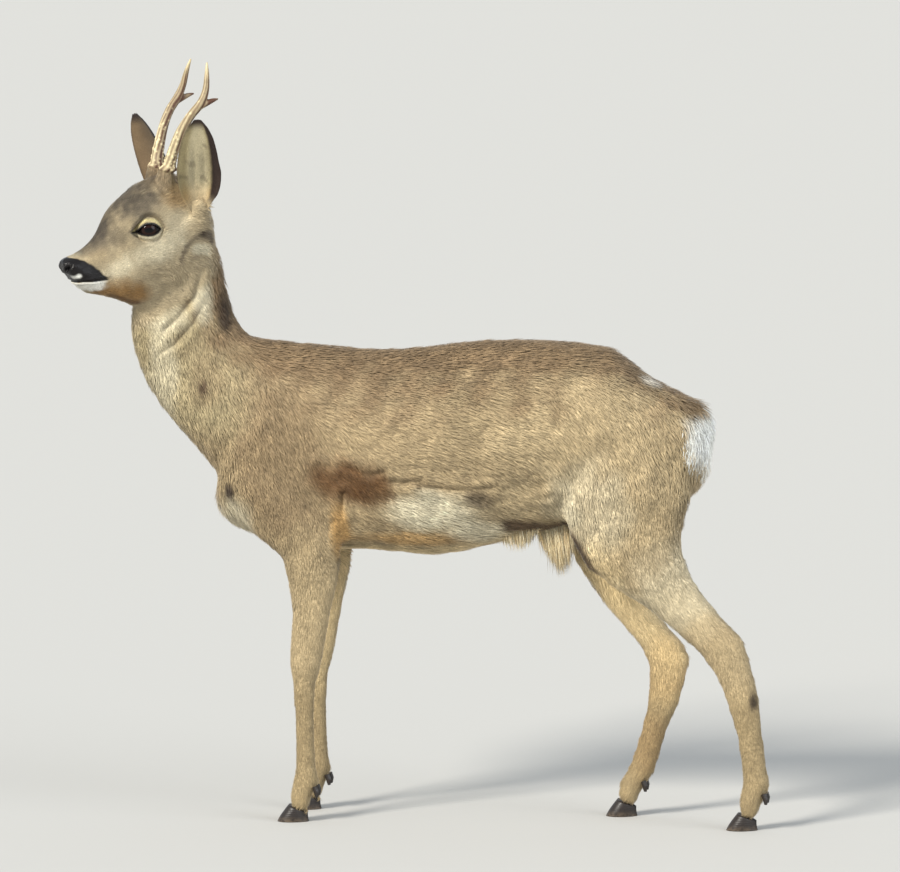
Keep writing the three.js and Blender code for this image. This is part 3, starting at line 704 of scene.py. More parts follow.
def ear_line(u, share, half, depth, thick, face):
    """Half a ring of the ear, from rim to rim by u from -1 to 1: its back (face 1) or its inside (-1)."""
    ridge = 0.9 * MM * np.cos(u * 13) * ramp(share, 0.1, 0.3) * ramp(share, 0.8, 0.5) * (face < 0)
    curl = 2.5 * MM * ramp(np.abs(u), 0.75, 1.0) * ramp(share, 0.5, 0.2)
    belly = 1 + 0.10 * ramp(share, 0.05, 0.25) * ramp(share, 0.62, 0.35) * (u > 0)
    thin = thick * (1 - 0.8 * u * u)
    x = half * u * belly - np.sign(u) * curl
    y = -depth * u * u + depth * 0.5 + face * thin * 0.5 - ridge * (1 - u * u) - curl
    return np.stack([x, y], axis=1)


def ear_arrays(side):
    """A cupped leaf: its back and its inside, the inside with low ridges, both meeting in a thin rim."""
    root, length, axes = ear_frame(side)
    across = np.linspace(-1, 1, 2 * EAR_HALF_SIDES + 1)
    across = np.sign(across) * np.abs(across) ** EAR_CROWDING
    rings = []
    for share, *sizes in zip(*ear_profile(), strict=True):
        halves = ((across, 1), (across[-2:0:-1], -1))
        ring = np.concatenate([ear_line(u, share, *sizes, face) for u, face in halves])
        rings.append(np.column_stack([ring, np.full(len(ring), share * length)]))
    points, triangles = capped_rings(rings)
    points = placed_by(points, axes, root)
    return points, outward(points, triangles)


# ------------------------------------------------------------------ the eye and its lids


EYE_WAY = np.array([0.32, 0.94, 0.04])  # where the left eye looks: forward, left and up in the level head
EYE_SLIT = np.array([1.0, 0, -0.05])  # the way of the opening's long line, toward its front corner


def eye_frame(side):
    """The eyeball's centre, and its directions: along the opening to the front corner, up and out."""
    mirror = np.array([1, SIDES[side], 1])
    out = unit(EYE_WAY) * mirror
    forward = unit(EYE_SLIT - out * (EYE_SLIT @ out))
    up = np.cross(forward, out) * SIDES[side]
    axes = np.array([forward, up, out]) @ HEAD
    return placed_by(EYE_SPOT * mirror, HEAD) - axes[2] * EYE_RADIUS, axes


def lid_place(local):
    """How far places are from the opening (under 1 inside, 1 on its edge), and which are above it."""
    u, v, _ = local.T
    long = EYE_OPENING["long"]
    v = v + EYE_DROOP * ramp(u, 0.2 * long, 1.1 * long)
    tall = np.where(v > 0, EYE_OPENING["upper"], EYE_OPENING["lower"])
    sharpness = np.where(u > 0, 2.0, 2.8)
    return np.sqrt((v / tall) ** 2 + 1e-9) + np.abs(u / long) ** sharpness, v > 0


def eye_view(points, side):
    """Places in the eye's own directions, their distance from its opening, and which are above it."""
    centre, axes = eye_frame(side)
    local = seen_from(points, axes, centre)
    return local, *lid_place(local)


LID_THICKNESS = {"upper": 2.0 * MM, "lower": 1.3 * MM}


def sculpt_eye(points, side):
    """Pulls the skin down round the eyeball as two lids, with the opening sunk behind the ball."""
    _, axes = eye_frame(side)
    local, place, upper = eye_view(points, side)
    near = (np.linalg.norm(local[:, :2], axis=1) < 42 * MM) & (local[:, 2] > -8 * MM)
    flat = np.minimum((local[:, :2] ** 2).sum(axis=1), EYE_RADIUS**2 * 0.98)
    ball = np.sqrt(EYE_RADIUS**2 - flat)
    thick = np.where(upper, LID_THICKNESS["upper"], LID_THICKNESS["lower"])
    crease = -1.5 * MM * bump(place, 2.0, 0.22) * upper
    bag = -0.8 * MM * bump(place, 2.1, 0.3) * ~upper
    rim = 0.5 * MM * bump(place, 1.12, 0.12)
    height = between(local[:, 2], ball + thick + crease + bag + rim, ramp(place, 3.1, 1.5))
    height = between(height, ball - EYE_SINK, ramp(place, 1.02, 0.86))
    moved = np.where(near, height, local[:, 2])
    return points + axes[2] * (moved - local[:, 2])[:, None]


# ------------------------------------------------------------------ face and body details

# Places on the face: along to the nose, out to each side, up.
NOSTRIL = np.array([189.5, 12.5, 34.0]) * MM
MOUTH_LINE = np.array([(196, 15.5), (188, 12.0), (178, 9.5), (166, 5.0), (152, 0.5), (141, -2.5)]) * MM
CHEEK_CREASE = np.array([(75, 41, -18), (62, 41, -23), (50, 39.5, -32)]) * MM
MOUTH_WIDTH, CREASE_WIDTH = 1.5 * MM, 2.2 * MM

# Folds that show on the near flank, and folds at the neck's left, as places in the shared frame.
NECK_FOLDS = (
    ((-0.320, -0.025, 0.808), (-0.328, -0.031, 0.774), (-0.352, -0.040, 0.743), (-0.372, -0.043, 0.726)),
    ((-0.316, -0.030, 0.765), (-0.332, -0.038, 0.735), (-0.357, -0.044, 0.705), (-0.380, -0.044, 0.692)),
)
FLANK_FOLDS = (
    ((-0.150, -0.078, 0.533), (-0.110, -0.078, 0.531), (-0.066, -0.080, 0.520), (-0.045, -0.080, 0.524)),
    ((-0.043, -0.080, 0.513), (-0.021, -0.081, 0.507), (0.008, -0.082, 0.513)),
    ((0.008, -0.080, 0.503), (0.046, -0.079, 0.499), (0.075, -0.077, 0.498), (0.112, -0.071, 0.502)),
    ((0.112, -0.070, 0.486), (0.157, -0.062, 0.480), (0.190, -0.056, 0.488)),
    ((0.060, -0.074, 0.474), (0.100, -0.066, 0.466), (0.140, -0.058, 0.462)),
    ((0.197, -0.057, 0.493), (0.188, -0.053, 0.468)),
    ((-0.108, -0.070, 0.490), (-0.111, -0.066, 0.450), (-0.117, -0.050, 0.405)),
)

# Muscle and bone under the coat: place (x, out, z), radius and height in mm.
FORMS = (
    (-0.215, 0.075, 0.585, 55, 3.5),
    (-0.225, 0.060, 0.500, 35, 3.0),
    (-0.120, 0.095, 0.540, 42, -6.0),
    (-0.030, 0.100, 0.560, 60, 2.5),
    (0.130, 0.090, 0.610, 45, -3.5),
    (0.165, 0.085, 0.500, 30, -4.0),
    (0.225, 0.060, 0.680, 22, 3.0),
    (0.285, 0.085, 0.560, 50, 3.5),
    (0.235, 0.070, 0.460, 30, 2.5),
    (0.360, 0.070, 0.560, 28, -2.5),
    (-0.205, 0.000, 0.700, 28, 2.0),
    (-0.095, 0.000, 0.700, 40, -1.5),
)
# On the face, in its own directions.
FACE_FORMS = (
    (0.076, 0.038, 0.068, 10, 3.2),
    (0.112, 0.026, 0.034, 11, -2.2),
    (0.050, 0.046, 0.000, 20, 1.6),
    (0.120, 0.028, -0.008, 14, 1.0),
    (0.160, 0.022, 0.002, 8, 1.4),
    (0.172, 0.024, 0.020, 7, 1.3),
    (0.050, 0.000, 0.105, 14, -1.8),
    (0.020, 0.018, 0.104, 12, 2.0),
    (0.000, 0.042, 0.045, 14, -2.4),
)


def distance_to_line(points, line):
    """The distance to a line through several places."""
    line = np.asarray(line, float)
    best = np.full(len(points), np.inf)
    for a, b in zip(line[:-1], line[1:], strict=True):
        share = np.clip((points - a) @ (b - a) / ((b - a) @ (b - a)), 0, 1)
        best = np.minimum(best, np.linalg.norm(points - a - share[:, None] * (b - a), axis=1))
    return best


def mirrored_body(line):
    return [(x, 2 * MIDDLE - y, z) for x, y, z in line]


def fold_lines():
    """Every body fold with its depth: the neck's on the left only, the flank's on both sides."""
    lines = [(line, NECK_FOLD_DEPTH) for line in NECK_FOLDS]
    for line in FLANK_FOLDS:
        lines += [(line, FLANK_FOLD_DEPTH), (mirrored_body(line), FAR_FOLD_DEPTH)]
    return lines


NECK_FOLD_DEPTH, FLANK_FOLD_DEPTH, FAR_FOLD_DEPTH = 3.8 * MM, 5.5 * MM, 3.5 * MM
FOLD_WIDTH = 6 * MM
FOLDS = fold_lines()


def fold_share(points):
    """1 in the bottom of a fold, 0 away from all of them."""
    gaps = [distance_to_line(points, line) for line, _ in FOLDS]
    return bump(np.min(gaps, axis=0), 0, 2 * FOLD_WIDTH)


# The stumps that carry the antlers, in the level head: place, top, and radius there and at the foot.
PEDICLE = {"forward": 36.0 * MM, "out": 20.4 * MM, "top": 97.5 * MM, "radius": 9.5 * MM, "foot": 15.0 * MM}
ANTLER_FOOT = 110 * MM  # above this height in the level head there is only antler
CROWN_DIP = 5.5 * MM  # how far the skull's top lies under the hair between them


def pedicle_gap(points):
    """The height in the level head, and the distance from the nearer pedicle's middle line."""
    forward, left, up = seen_from(points, HEAD).T
    lean = 0.09 * (PEDICLE["top"] - up)
    return up, np.hypot(forward - PEDICLE["forward"] - 0.5 * lean, np.abs(left) - PEDICLE["out"] + lean)


def sculpt_crown(points):
    """Lowers the crown to its skull and raises a pedicle under each antler."""
    up, gap = pedicle_gap(points)
    on_top = ramp(up, 55 * MM, 72 * MM)
    crown = ramp(gap, 46 * MM, 22 * MM) * CROWN_DIP
    stump = ramp(gap, PEDICLE["foot"], PEDICLE["radius"]) * on_top
    height = up - crown * on_top
    height = height + np.maximum(PEDICLE["top"] - height, 0) * stump
    return points + UPWARD * (np.where(up < ANTLER_FOOT, height, up) - up)[:, None]


# The ear's root, from inside the skull out: share of the ear's length, then place out of its back and
# radius in mm.
STUMP_ROWS = ((-0.20, 3, 17), (-0.08, 2, 17), (0.02, 0, 15.5), (0.09, -2, 12.5), (0.14, -2, 8))
STUMP_BACK = 2 * MM


def ear_stump(side):
    """A short thick root between the skull and the ear, joined to the flesh before it is skinned."""
    root, length, axes = ear_frame(side)
    share, out, radius = np.array(STUMP_ROWS).T
    path = np.column_stack([np.full(len(share), STUMP_BACK), out * MM, share * length, radius * MM])
    path[:, :3] = placed_by(path[:, :3], axes, root)
    return rod(path, 12, 20)


def raised_by(points, forms):
    """How much round forms, given as (x, y, z, radius and height in mm), raise these points."""
    rise = np.zeros(len(points))
    for x, y, z, radius, height in forms:
        gap = np.linalg.norm(points - (x, y, z), axis=1)
        rise += height * MM * bump(gap, 0, radius * MM)
    return rise


def sculpt_body(points, normals):
    """Folds of loose skin, and the forms of muscle and bone."""
    rise = raised_by(points, [(x, MIDDLE - out, z, *size) for x, out, z, *size in both_sides(FORMS)])
    for line, depth in FOLDS:
        gap = distance_to_line(points, line) / FOLD_WIDTH
        rise += depth * (0.18 * bump(gap, 1.9) - bump(gap))
    return points + normals * rise[:, None]


def mouth_height(along):
    order = np.argsort(MOUTH_LINE[:, 0])
    return np.interp(along, MOUTH_LINE[order, 0], MOUTH_LINE[order, 1])


def one_half(points):
    """Places in the face's directions, with its right half laid over its left."""
    local = seen_from(points, FACE)
    local[:, 1] = np.abs(local[:, 1])
    return local


def sculpt_face(points, normals):
    """Nostrils, the split lip, the mouth's line, the cheek's crease and the face's forms."""
    half = one_half(points)
    along, out, up = half.T
    rise = raised_by(half, FACE_FORMS)
    gap = (up - mouth_height(along)) / MOUTH_WIDTH
    inside = ramp(along, 138 * MM, 146 * MM)
    rise += inside * (0.8 * MM * bump(np.abs(gap), 2.4) - 2.4 * MM * bump(gap))
    split = bump(out, 0, 0.9 * MM) * ramp(along, 188 * MM, 192 * MM) * ramp(up, 33 * MM, 27 * MM)
    rise -= 1.6 * MM * split * ramp(up, 11 * MM, 15 * MM)
    groove = distance_to_line(half, CHEEK_CREASE) / CREASE_WIDTH
    rise += 0.5 * MM * bump(groove, 1.8) - 1.3 * MM * bump(groove)
    points = points + normals * rise[:, None]
    return sculpt_nostrils(points, normals)


def nostril_place(points):
    """How far each place is from its nostril's middle line, 1 on the edge, and whether it is near it."""
    local = seen_from(points, FACE)
    along, _, up = (local - NOSTRIL * (1, 0, 1)).T
    out = np.abs(local[:, 1]) - NOSTRIL[1]
    lengthwise = out * 0.62 + up * 0.62 - along * 0.48
    across = up * 0.72 - out * 0.60 + 0.020 / MM * lengthwise * np.abs(lengthwise)
    return np.sqrt((lengthwise / (7.2 * MM)) ** 2 + (across / (3.4 * MM)) ** 2), np.abs(along) < 22 * MM


def sculpt_nostrils(points, normals):
    """Two comma-shaped holes with a raised wing round each."""
    place, near = nostril_place(points)
    hole = -6.5 * MM * ramp(place, 1.0, 0.45)
    wing = 1.2 * MM * bump(place, 1.35, 0.3)
    return points + normals * ((hole + wing) * near)[:, None]


# ------------------------------------------------------------------ skin


# The head, as the places this far along the face, up from its line and above the ground.
HEAD_START, THROAT, HEAD_LEVEL = -50 * MM, -95 * MM, 0.745
FACE_START, MUZZLE_START = 28 * MM, 164 * MM
FOOT_LEVEL = 0.075
BODY_ROUNDS, TRUNK_ROUNDS, EAR_ROUNDS = 6, 26, 20  # of smoothing


def on_head(points, start=HEAD_START):
    along, _, up = seen_from(points, FACE).T
    return (along > start) & (up > THROAT) & (points[:, 2] > HEAD_LEVEL)


def on_face(points):
    return on_head(points, FACE_START)


def on_foot(points):
    return points[:, 2] < FOOT_LEVEL


def near_fold(points):
    return np.min([distance_to_line(points, line) for line, _ in FOLDS], axis=0) < 16 * MM


def near_feature(points):
    """Whether each place is round an eye or a pedicle, or on the muzzle."""
    up, gap = pedicle_gap(points)
    near = (gap < 17 * MM) & (up > 70 * MM) & (up < ANTLER_FOOT)
    for side in SIDES:
        local, _, _ = eye_view(points, side)
        near |= (np.linalg.norm(local[:, :2] * (1, 1.35), axis=1) < 27 * MM) & (local[:, 2] > 0)
    return near | (seen_from(points, FACE)[:, 0] > MUZZLE_START)


def near_edge(points):
    """Whether each place is on the rim of a lid or of a nostril."""
    nostril, near_nostril = nostril_place(points)
    near = near_nostril & (nostril < 1.3)
    for side in SIDES:
        local, place, _ = eye_view(points, side)
        near |= (place > 0.75) & (place < 1.35) & (local[:, 2] > 2 * MM)
    return near


def under_coat(points, triangles):
    """The surface sunk by the depth of the coat that will lie on it."""
    normals = point_normals(points, triangles)
    _, length, lift = coat_at(points, normals)
    return points - normals * (length * np.sin(lift) * COAT_ROOM + SEAM_REACH)[:, None]


def with_lids(points):
    for side in SIDES:
        points = sculpt_eye(points, side)
    return points


def skin_arrays():
    """One closed skin inside the solids of flesh: coarse on the body, finer on head, ears and folds."""
    solids = [cad_arrays(name) for name in FLESH] + [cad_arrays(f"{leg}_leg") for leg in LEGS]
    points, triangles = voxelled(*joined(solids + [ear_stump(side) for side in SIDES]), VOXEL)
    trunk = ramp(points[:, 2], 0.38, 0.44) * ramp(points[:, 0], -0.34, -0.29)
    points = relaxed(points, triangles, BODY_ROUNDS)
    points = relaxed(points, triangles, TRUNK_ROUNDS, trunk)
    for chooser in (near_fold, on_foot, on_head):
        points, triangles = refined_where(points, triangles, chooser)
    points = under_coat(points, triangles)
    points = sculpt_body(points, point_normals(points, triangles))
    points, triangles = refined_where(points, triangles, on_face, 2)
    points = sculpt_crown(points)
    points, triangles = refined_where(points, triangles, near_feature, 2)
    points, triangles = refined_where(with_lids(points), triangles, near_edge, 0)
    points = with_lids(points)
    points = sculpt_face(points, point_normals(points, triangles))
    for side in SIDES:
        points, triangles = with_ear(points, triangles, side)
    return points, triangles


def with_ear(points, triangles, side):
    """The head with an ear grown out of it, its root smoothed into the skull."""
    ear = new_object("ear", new_mesh("ear", *ear_arrays(side)))
    union = {"operation": "UNION", "solver": "MANIFOLD", "object": ear}
    points, triangles = welded(*modified(points, triangles, "BOOLEAN", **union))
    bpy.data.meshes.remove(ear.data)
    root, _, axes = ear_frame(side)
    x, y, z = seen_from(points, axes, root).T
    near = ramp(np.sqrt(x**2 + y**2 + (z - 8 * MM) ** 2), 44 * MM, 26 * MM)
    near = near * ramp(z, 38 * MM, 20 * MM)
    return relaxed(points, triangles, EAR_ROUNDS, near, shrink=True), triangles


# ------------------------------------------------------------------ markings

# Soft-edged marks on the body: colour, place (x, out, z), half sizes (x, out, z), strength.
BODY_MARKS = (
    ("haunch", (0.300, 0.090, 0.530), (0.160, 0.080, 0.170), 0.90),
    ("pale", (0.250, 0.085, 0.470), (0.070, 0.060, 0.080), 0.35),
    ("straw", (0.020, 0.000, 0.395), (0.210, 0.070, 0.030), 0.60),
    ("pale", (0.030, 0.075, 0.465), (0.072, 0.050, 0.034), 0.80),
    ("back", (-0.195, 0.085, 0.520), (0.080, 0.060, 0.110), 0.55),
    ("rust", (-0.096, 0.078, 0.508), (0.066, 0.050, 0.036), 0.95),
    ("rust", (-0.060, 0.078, 0.495), (0.036, 0.045, 0.024), 0.80),
    ("ochre", (-0.112, 0.062, 0.440), (0.016, 0.034, 0.052), 1.00),
    ("ochre", (-0.005, 0.055, 0.423), (0.085, 0.030, 0.013), 0.75),
    ("pale", (0.098, 0.062, 0.432), (0.055, 0.040, 0.022), 0.60),
    ("pale", (-0.262, 0.030, 0.455), (0.036, 0.060, 0.040), 0.60),
    ("pale", (0.215, 0.062, 0.470), (0.030, 0.050, 0.036), 0.60),
    ("straw", (0.200, 0.010, 0.430), (0.090, 0.045, 0.050), 0.75),
    ("straw", (-0.150, 0.025, 0.395), (0.060, 0.030, 0.045), 0.50),
    ("haunch", (0.150, 0.075, 0.478), (0.080, 0.050, 0.040), 0.70),
    # Painted shade in the hollow where belly and thigh meet
    ("rust", (0.238, 0.050, 0.425), (0.012, 0.020, 0.030), 0.85),
    ("white", (0.436, 0.030, 0.570), (0.046, 0.056, 0.042), 1.00),
    ("white", (0.430, 0.000, 0.562), (0.046, 0.040, 0.042), 1.00),
)
# Marks that aren't mirrored, most of them on the near side, as places in the shared frame.
NEAR_MARKS = (
    ("dark", (0.094, -0.073, 0.484), (0.024, 0.030, 0.016), 0.65),
    ("dark", (0.054, -0.060, 0.416), (0.012, 0.030, 0.014), 0.60),
    ("dark", (-0.317, -0.044, 0.638), (0.007, 0.020, 0.013), 1.00),
    ("dark", (-0.276, -0.056, 0.487), (0.010, 0.020, 0.012), 0.90),
    ("pale", (-0.372, -0.044, 0.740), (0.040, 0.040, 0.026), 0.55),
    ("pale", (-0.376, -0.040, 0.668), (0.026, 0.050, 0.080), 0.50),
    ("pale", (-0.318, -0.036, 0.764), (0.018, 0.030, 0.034), 0.75),
    ("back", (-0.312, -0.050, 0.648), (0.034, 0.040, 0.050), 0.45),
    ("haunch", (0.190, -0.090, 0.565), (0.090, 0.050, 0.050), 0.60),
    ("back", (0.250, 0.000, 0.690), (0.120, 0.060, 0.030), 0.70),
    ("dark", (-0.289, -0.003, 0.749), (0.012, 0.020, 0.036), 0.75),
    ("white", (0.350, 0.004, 0.655), (0.030, 0.030, 0.012), 0.35),
)
# The dark gland on the outside of each hind shank.
SHANK_MARKS = (
    ("dark", (0.500, MIDDLE - 0.070, 0.190), (0.011, 0.010, 0.016), 0.85),
    ("dark", (0.400, MIDDLE + 0.070, 0.175), (0.011, 0.010, 0.016), 0.85),
)
# The painted shade in the hollow over the brush and along the near thigh's front edge, as places (x, z).
GROIN_LINE = ((0.130, 0.444), (0.180, 0.440), (0.216, 0.440), (0.237, 0.418), (0.252, 0.388), (0.266, 0.366))
GROIN_WIDTH = 12 * MM
# How dark the painted shade in the groin and in the folds is
PAINTED_SHADE_STRENGTH = 0.9
# Marks on the legs, given like those on the body.
LEG_MARKS = (
    ("straw", (0.262, 0.058, 0.355), (0.060, 0.050, 0.080), 0.55),
    ("haunch", (-0.165, 0.060, 0.330), (0.050, 0.050, 0.100), 0.60),
    ("haunch", (0.470, 0.058, 0.260), (0.080, 0.040, 0.080), 0.60),
    ("ochre", (0.352, 0.058, 0.225), (0.040, 0.040, 0.060), 0.50),
    ("jaw", (0.330, 0.058, 0.110), (0.040, 0.040, 0.060), 0.35),
    ("pale", (0.380, 0.058, 0.350), (0.080, 0.050, 0.080), 0.40),
)
# Marks on the face: colour, place (along, out, up), half sizes, strength.
FACE_MARKS = (
    ("back", (-0.010, 0.000, 0.095), (0.060, 0.050, 0.040), 0.80),
    ("ridge", (0.062, 0.000, 0.096), (0.062, 0.052, 0.036), 0.90),
    ("ridge", (0.058, 0.034, 0.080), (0.044, 0.024, 0.022), 0.80),
    ("ridge", (0.122, 0.000, 0.064), (0.058, 0.032, 0.030), 0.95),
    ("ridge", (0.104, 0.030, 0.048), (0.026, 0.012, 0.016), 0.45),
    ("ridge", (0.134, 0.014, 0.050), (0.034, 0.020, 0.018), 0.60),
    ("side", (0.142, 0.018, 0.030), (0.028, 0.014, 0.016), 0.50),
    ("pale", (0.172, 0.010, 0.052), (0.014, 0.016, 0.008), 0.40),
    ("pale", (0.060, 0.044, 0.010), (0.050, 0.024, 0.026), 0.50),
    ("pale", (0.120, 0.030, 0.006), (0.034, 0.018, 0.016), 0.40),
    ("pale", (0.020, 0.040, 0.035), (0.030, 0.020, 0.025), 0.25),
    ("ochre", (0.004, 0.040, 0.066), (0.024, 0.020, 0.020), 0.45),
)
# Bands on the face: colour, places along a line (along, out, up) in mm, half width in mm, strength.
FACE_BANDS = (
    ("jaw", ((152, 20, -22), (132, 25, -30), (108, 27, -44)), 21, 0.95),
    # Painted shade under the lower jaw and in its notch at the throat
    ("rust", ((146, 12, -34), (126, 12, -48), (112, 14, -58)), 9, 0.80),
    # The next two dark bands are painted shadow under the ear's root
    ("dark", ((33, 43, -27), (31, 43, -20), (19, 45, -7), (4, 45, 0), (-15, 43, 2)), 5, 0.60),
    ("dark", ((-15, 43, 0), (-24, 38, -6), (-30, 32, -18)), 8, 0.75),
    ("pale", ((4, 41, -16), (-8, 39, -22), (-18, 34, -30)), 9, 0.70),
    # Painted shadow under the ear's root
    ("dark", ((-16, 40, 8), (-26, 38, 12)), 6, 0.45),
)
LIP_SPOT = ("white", (0.186, 0.021, 0.0195), (0.0085, 0.009, 0.0050), 1.00)
NOSE_LEVEL = 0.7  # nothing below this height above the ground is nose or chin
# The black of nose and lip reaches back to: height on the face and place along it, in mm.
MASK_EDGE = ((-12, 139), (-3, 141), (6, 145), (16, 150), (26, 156), (36, 163), (44, 173), (50, 184))


MARK_CORE, SOFT_CORE, MARK_END = 0.5, 0.2, 1.25  # where a mark begins to fade, and ends, in half sizes


def mark_share(points, place, sizes, wobble, core=MARK_CORE):
    """1 within a mark's core, fading to 0 a little beyond its half sizes."""
    gap = np.linalg.norm((points - place) / sizes, axis=1)
    return ramp(gap + wobble, MARK_END, core)


def marked(colour, points, marks, wobble, core=MARK_CORE):
    """The colour with soft-edged marks painted over it."""
    for name, place, sizes, strength in marks:
        colour = mixed(colour, COLOUR[name], mark_share(points, place, sizes, wobble, core) * strength)
    return colour


def on_both_sides(marks):
    """Marks given by how far out from the body's middle they are, as marks at places on either side."""
    placed = []
    for name, (x, out, z), sizes, strength in marks:
        for y in (MIDDLE - out, MIDDLE + out) if out else (MIDDLE,):
            placed.append((name, (x, y, z), sizes, strength))
    return placed


def body_colours(points, normals, wobble):
    """The ground colours: a darker back and nape, the side, and paler legs."""
    x, _, z = points.T
    upward = ramp(normals[:, 2] + wobble, 0.05, 0.75) * ramp(z, 0.50, 0.64)
    colour = mixed(COLOUR["side"], COLOUR["back"], upward)
    neck = ramp(x, -0.23, -0.30) * ramp(z, 0.54, 0.60)
    nape = ramp(normals[:, 0] + 0.3 * normals[:, 2] + wobble, 0.1, 0.7)
    colour = mixed(colour, mixed(COLOUR["neck"], COLOUR["back"], nape), neck)
    shank = ramp(z + 0.03 * wobble, 0.25, 0.17)
    return mixed(colour, mixed(COLOUR["haunch"], COLOUR["leg"], shank), ramp(z, 0.42, 0.33))


def add_body_marks(colour, points, normals, wobble):
    """The marks of trunk and legs, pale inner legs, and painted shade in the groin and in the folds."""
    colour = marked(colour, points, on_both_sides(BODY_MARKS + LEG_MARKS), wobble)
    colour = marked(colour, points, NEAR_MARKS, wobble)
    y, z = points[:, 1] - MIDDLE, points[:, 2]
    inner = ramp(-normals[:, 1] * np.sign(y), 0.1, 0.8) * ramp(z, 0.42, 0.36) * ramp(z, 0.12, 0.24)
    colour = mixed(colour, COLOUR["straw"], inner * 0.55)
    colour = marked(colour, points, SHANK_MARKS, wobble)
    # Painted shade in the groin's hollow, on the near side only
    groin = np.array([(x, 0, z) for x, z in GROIN_LINE])
    gap = distance_to_line(points * (1, 0, 1), groin) / GROIN_WIDTH + wobble
    colour = mixed(colour, COLOUR["fold"], PAINTED_SHADE_STRENGTH * ramp(gap, 1.2, 0.3) * ramp(y, 20 * MM, 0))
    # Painted shade in the bottom of each fold, darker where the fold is deeper
    for line, depth in FOLDS:
        gap = distance_to_line(points, line) / FOLD_WIDTH
        shade = bump(gap, 0, 0.75 + 0.3 * wobble) * depth / FLANK_FOLD_DEPTH
        colour = mixed(colour, COLOUR["fold"], PAINTED_SHADE_STRENGTH * shade)
    return colour


def nose_share(points):
    """1 on the black of the nose and the dark lip that runs back from it to the mouth's corner."""
    along, _, up = seen_from(points, FACE).T
    edge_up, edge_along = np.array(MASK_EDGE).T * MM
    back = np.interp(up, edge_up, edge_along) + ripple(points, 5 * MM, seed=9) * 0.8 * MM
    above_mouth = ramp(up - mouth_height(along), -2.4 * MM, -1.0 * MM)
    return ramp(along, back - 1.0 * MM, back + 2.5 * MM) * above_mouth * (points[:, 2] > NOSE_LEVEL)


def chin_share(points):
    """1 on the white of the lower lip and chin."""
    along, _, up = seen_from(points, FACE).T
    below = mouth_height(along) - up + ripple(points, 6 * MM, seed=14) * 0.8 * MM
    band = ramp(below, 0.8 * MM, 2.2 * MM) * ramp(below, 19 * MM, 13 * MM)
    back = 145 * MM + 0.3 * below + ripple(points, 7 * MM, seed=17) * 3 * MM
    return band * ramp(along, back - 7 * MM, back + 12 * MM) * (points[:, 2] > NOSE_LEVEL)


def add_eye_marks(colour, points, side):
    """A dark brow, a cream upper and a pale lower ring, and black lid rims and tear corner."""
    seen, place, upper = eye_view(points, side)
    long = EYE_OPENING["long"]
    on = (seen[:, 2] > 0) & (np.linalg.norm(seen[:, :2], axis=1) < 45 * MM)
    ring = bump(place, 1.64, np.where(upper, 0.27, 0.28)) * on
    ring = ring * (1 + 0.25 * ripple(points, 5 * MM, seed=19))
    ring = ring * ramp(seen[:, 0], -1.25 * long, -0.8 * long)
    brow = bump(place, 2.7, 0.5) * on * upper
    tear = mark_share(seen, (21.5 * MM, -2.6 * MM, 9 * MM), (6 * MM, 2.2 * MM, 12 * MM), 0) * on
    rim = np.maximum(ramp(place, 1.40, 1.2) * on, tear * 0.9)
    shares = {"ridge": brow * 0.45, "cream": ring * upper * 0.75, "pale": ring * ~upper * 0.95, "black": rim}
    for name, share in shares.items():
        colour = mixed(colour, COLOUR[name], np.clip(share, 0, 1))
    return colour


def add_face_marks(colour, points):
    """The head's ground colour, its marks and bands with painted shade under the jaw and painted shadow under
    the ears, the eyes' surrounds, chin, nose and lip spot.
    """
    half = one_half(points)
    along, _, up = half.T
    wobble = ripple(points, 8 * MM, seed=5) * 0.10 + ripple(points, 25 * MM, seed=6) * 0.06
    head = ramp(along + 0.3 * up, -60 * MM, -25 * MM) * ramp(up + 0.25 * along, -80 * MM, -62 * MM)
    colour = mixed(colour, COLOUR["face"], head * (points[:, 2] > 0.72))
    colour = marked(colour, half, FACE_MARKS, wobble, SOFT_CORE)
    for name, line, width, strength in FACE_BANDS:
        gap = distance_to_line(half, np.array(line) * MM) / (width * MM) + wobble
        colour = mixed(colour, COLOUR[name], strength * ramp(gap, 1.4, 0.3))
    for side in SIDES:
        colour = add_eye_marks(colour, points, side)
    colour = mixed(colour, COLOUR["white"], chin_share(points) * 0.7)
    colour = mixed(colour, COLOUR["black"], nose_share(points))
    return marked(colour, half, (LIP_SPOT,), 2 * wobble, SOFT_CORE)


def add_ear_marks(colour, points, normals):
    """Brown backs, warm mottled insides, and dark rims and tips."""
    for side in SIDES:
        root, length, axes = ear_frame(side)
        x, _, z = seen_from(points, axes, root).T
        z = z / length
        x = x / (np.interp(z, EAR_ROWS[:, 0], EAR_ROWS[:, 1]) * EAR_WIDTH)
        inside = faces_cup(normals, axes)
        warm = mixed(COLOUR["ear_inside"], COLOUR["ochre"], 0.6 * ramp(z, 0.35, 0.1))
        front = mixed(warm, COLOUR["pale"], 0.35 * ramp(np.abs(x), 0.7, 0.3))
        ear = mixed(COLOUR["ear_back"], front, inside)
        rear_rim = ramp(x, 0.52, 0.70) * ramp(z, 0.02, 0.12)
        front_rim = ramp(-x, 0.86, 1.0) * 0.45
        mottle = 0.35 * ramp(ripple(points, 11 * MM, seed=15), 0.5, 1.2) * inside
        dark = np.max([rear_rim, front_rim, ramp(z, 0.86, 0.98), mottle], axis=0)
        colour = mixed(colour, mixed(ear, COLOUR["dark"], dark), ear_share(points, side))
    return colour


COLOUR_LIMITS = (0.002, 0.95)


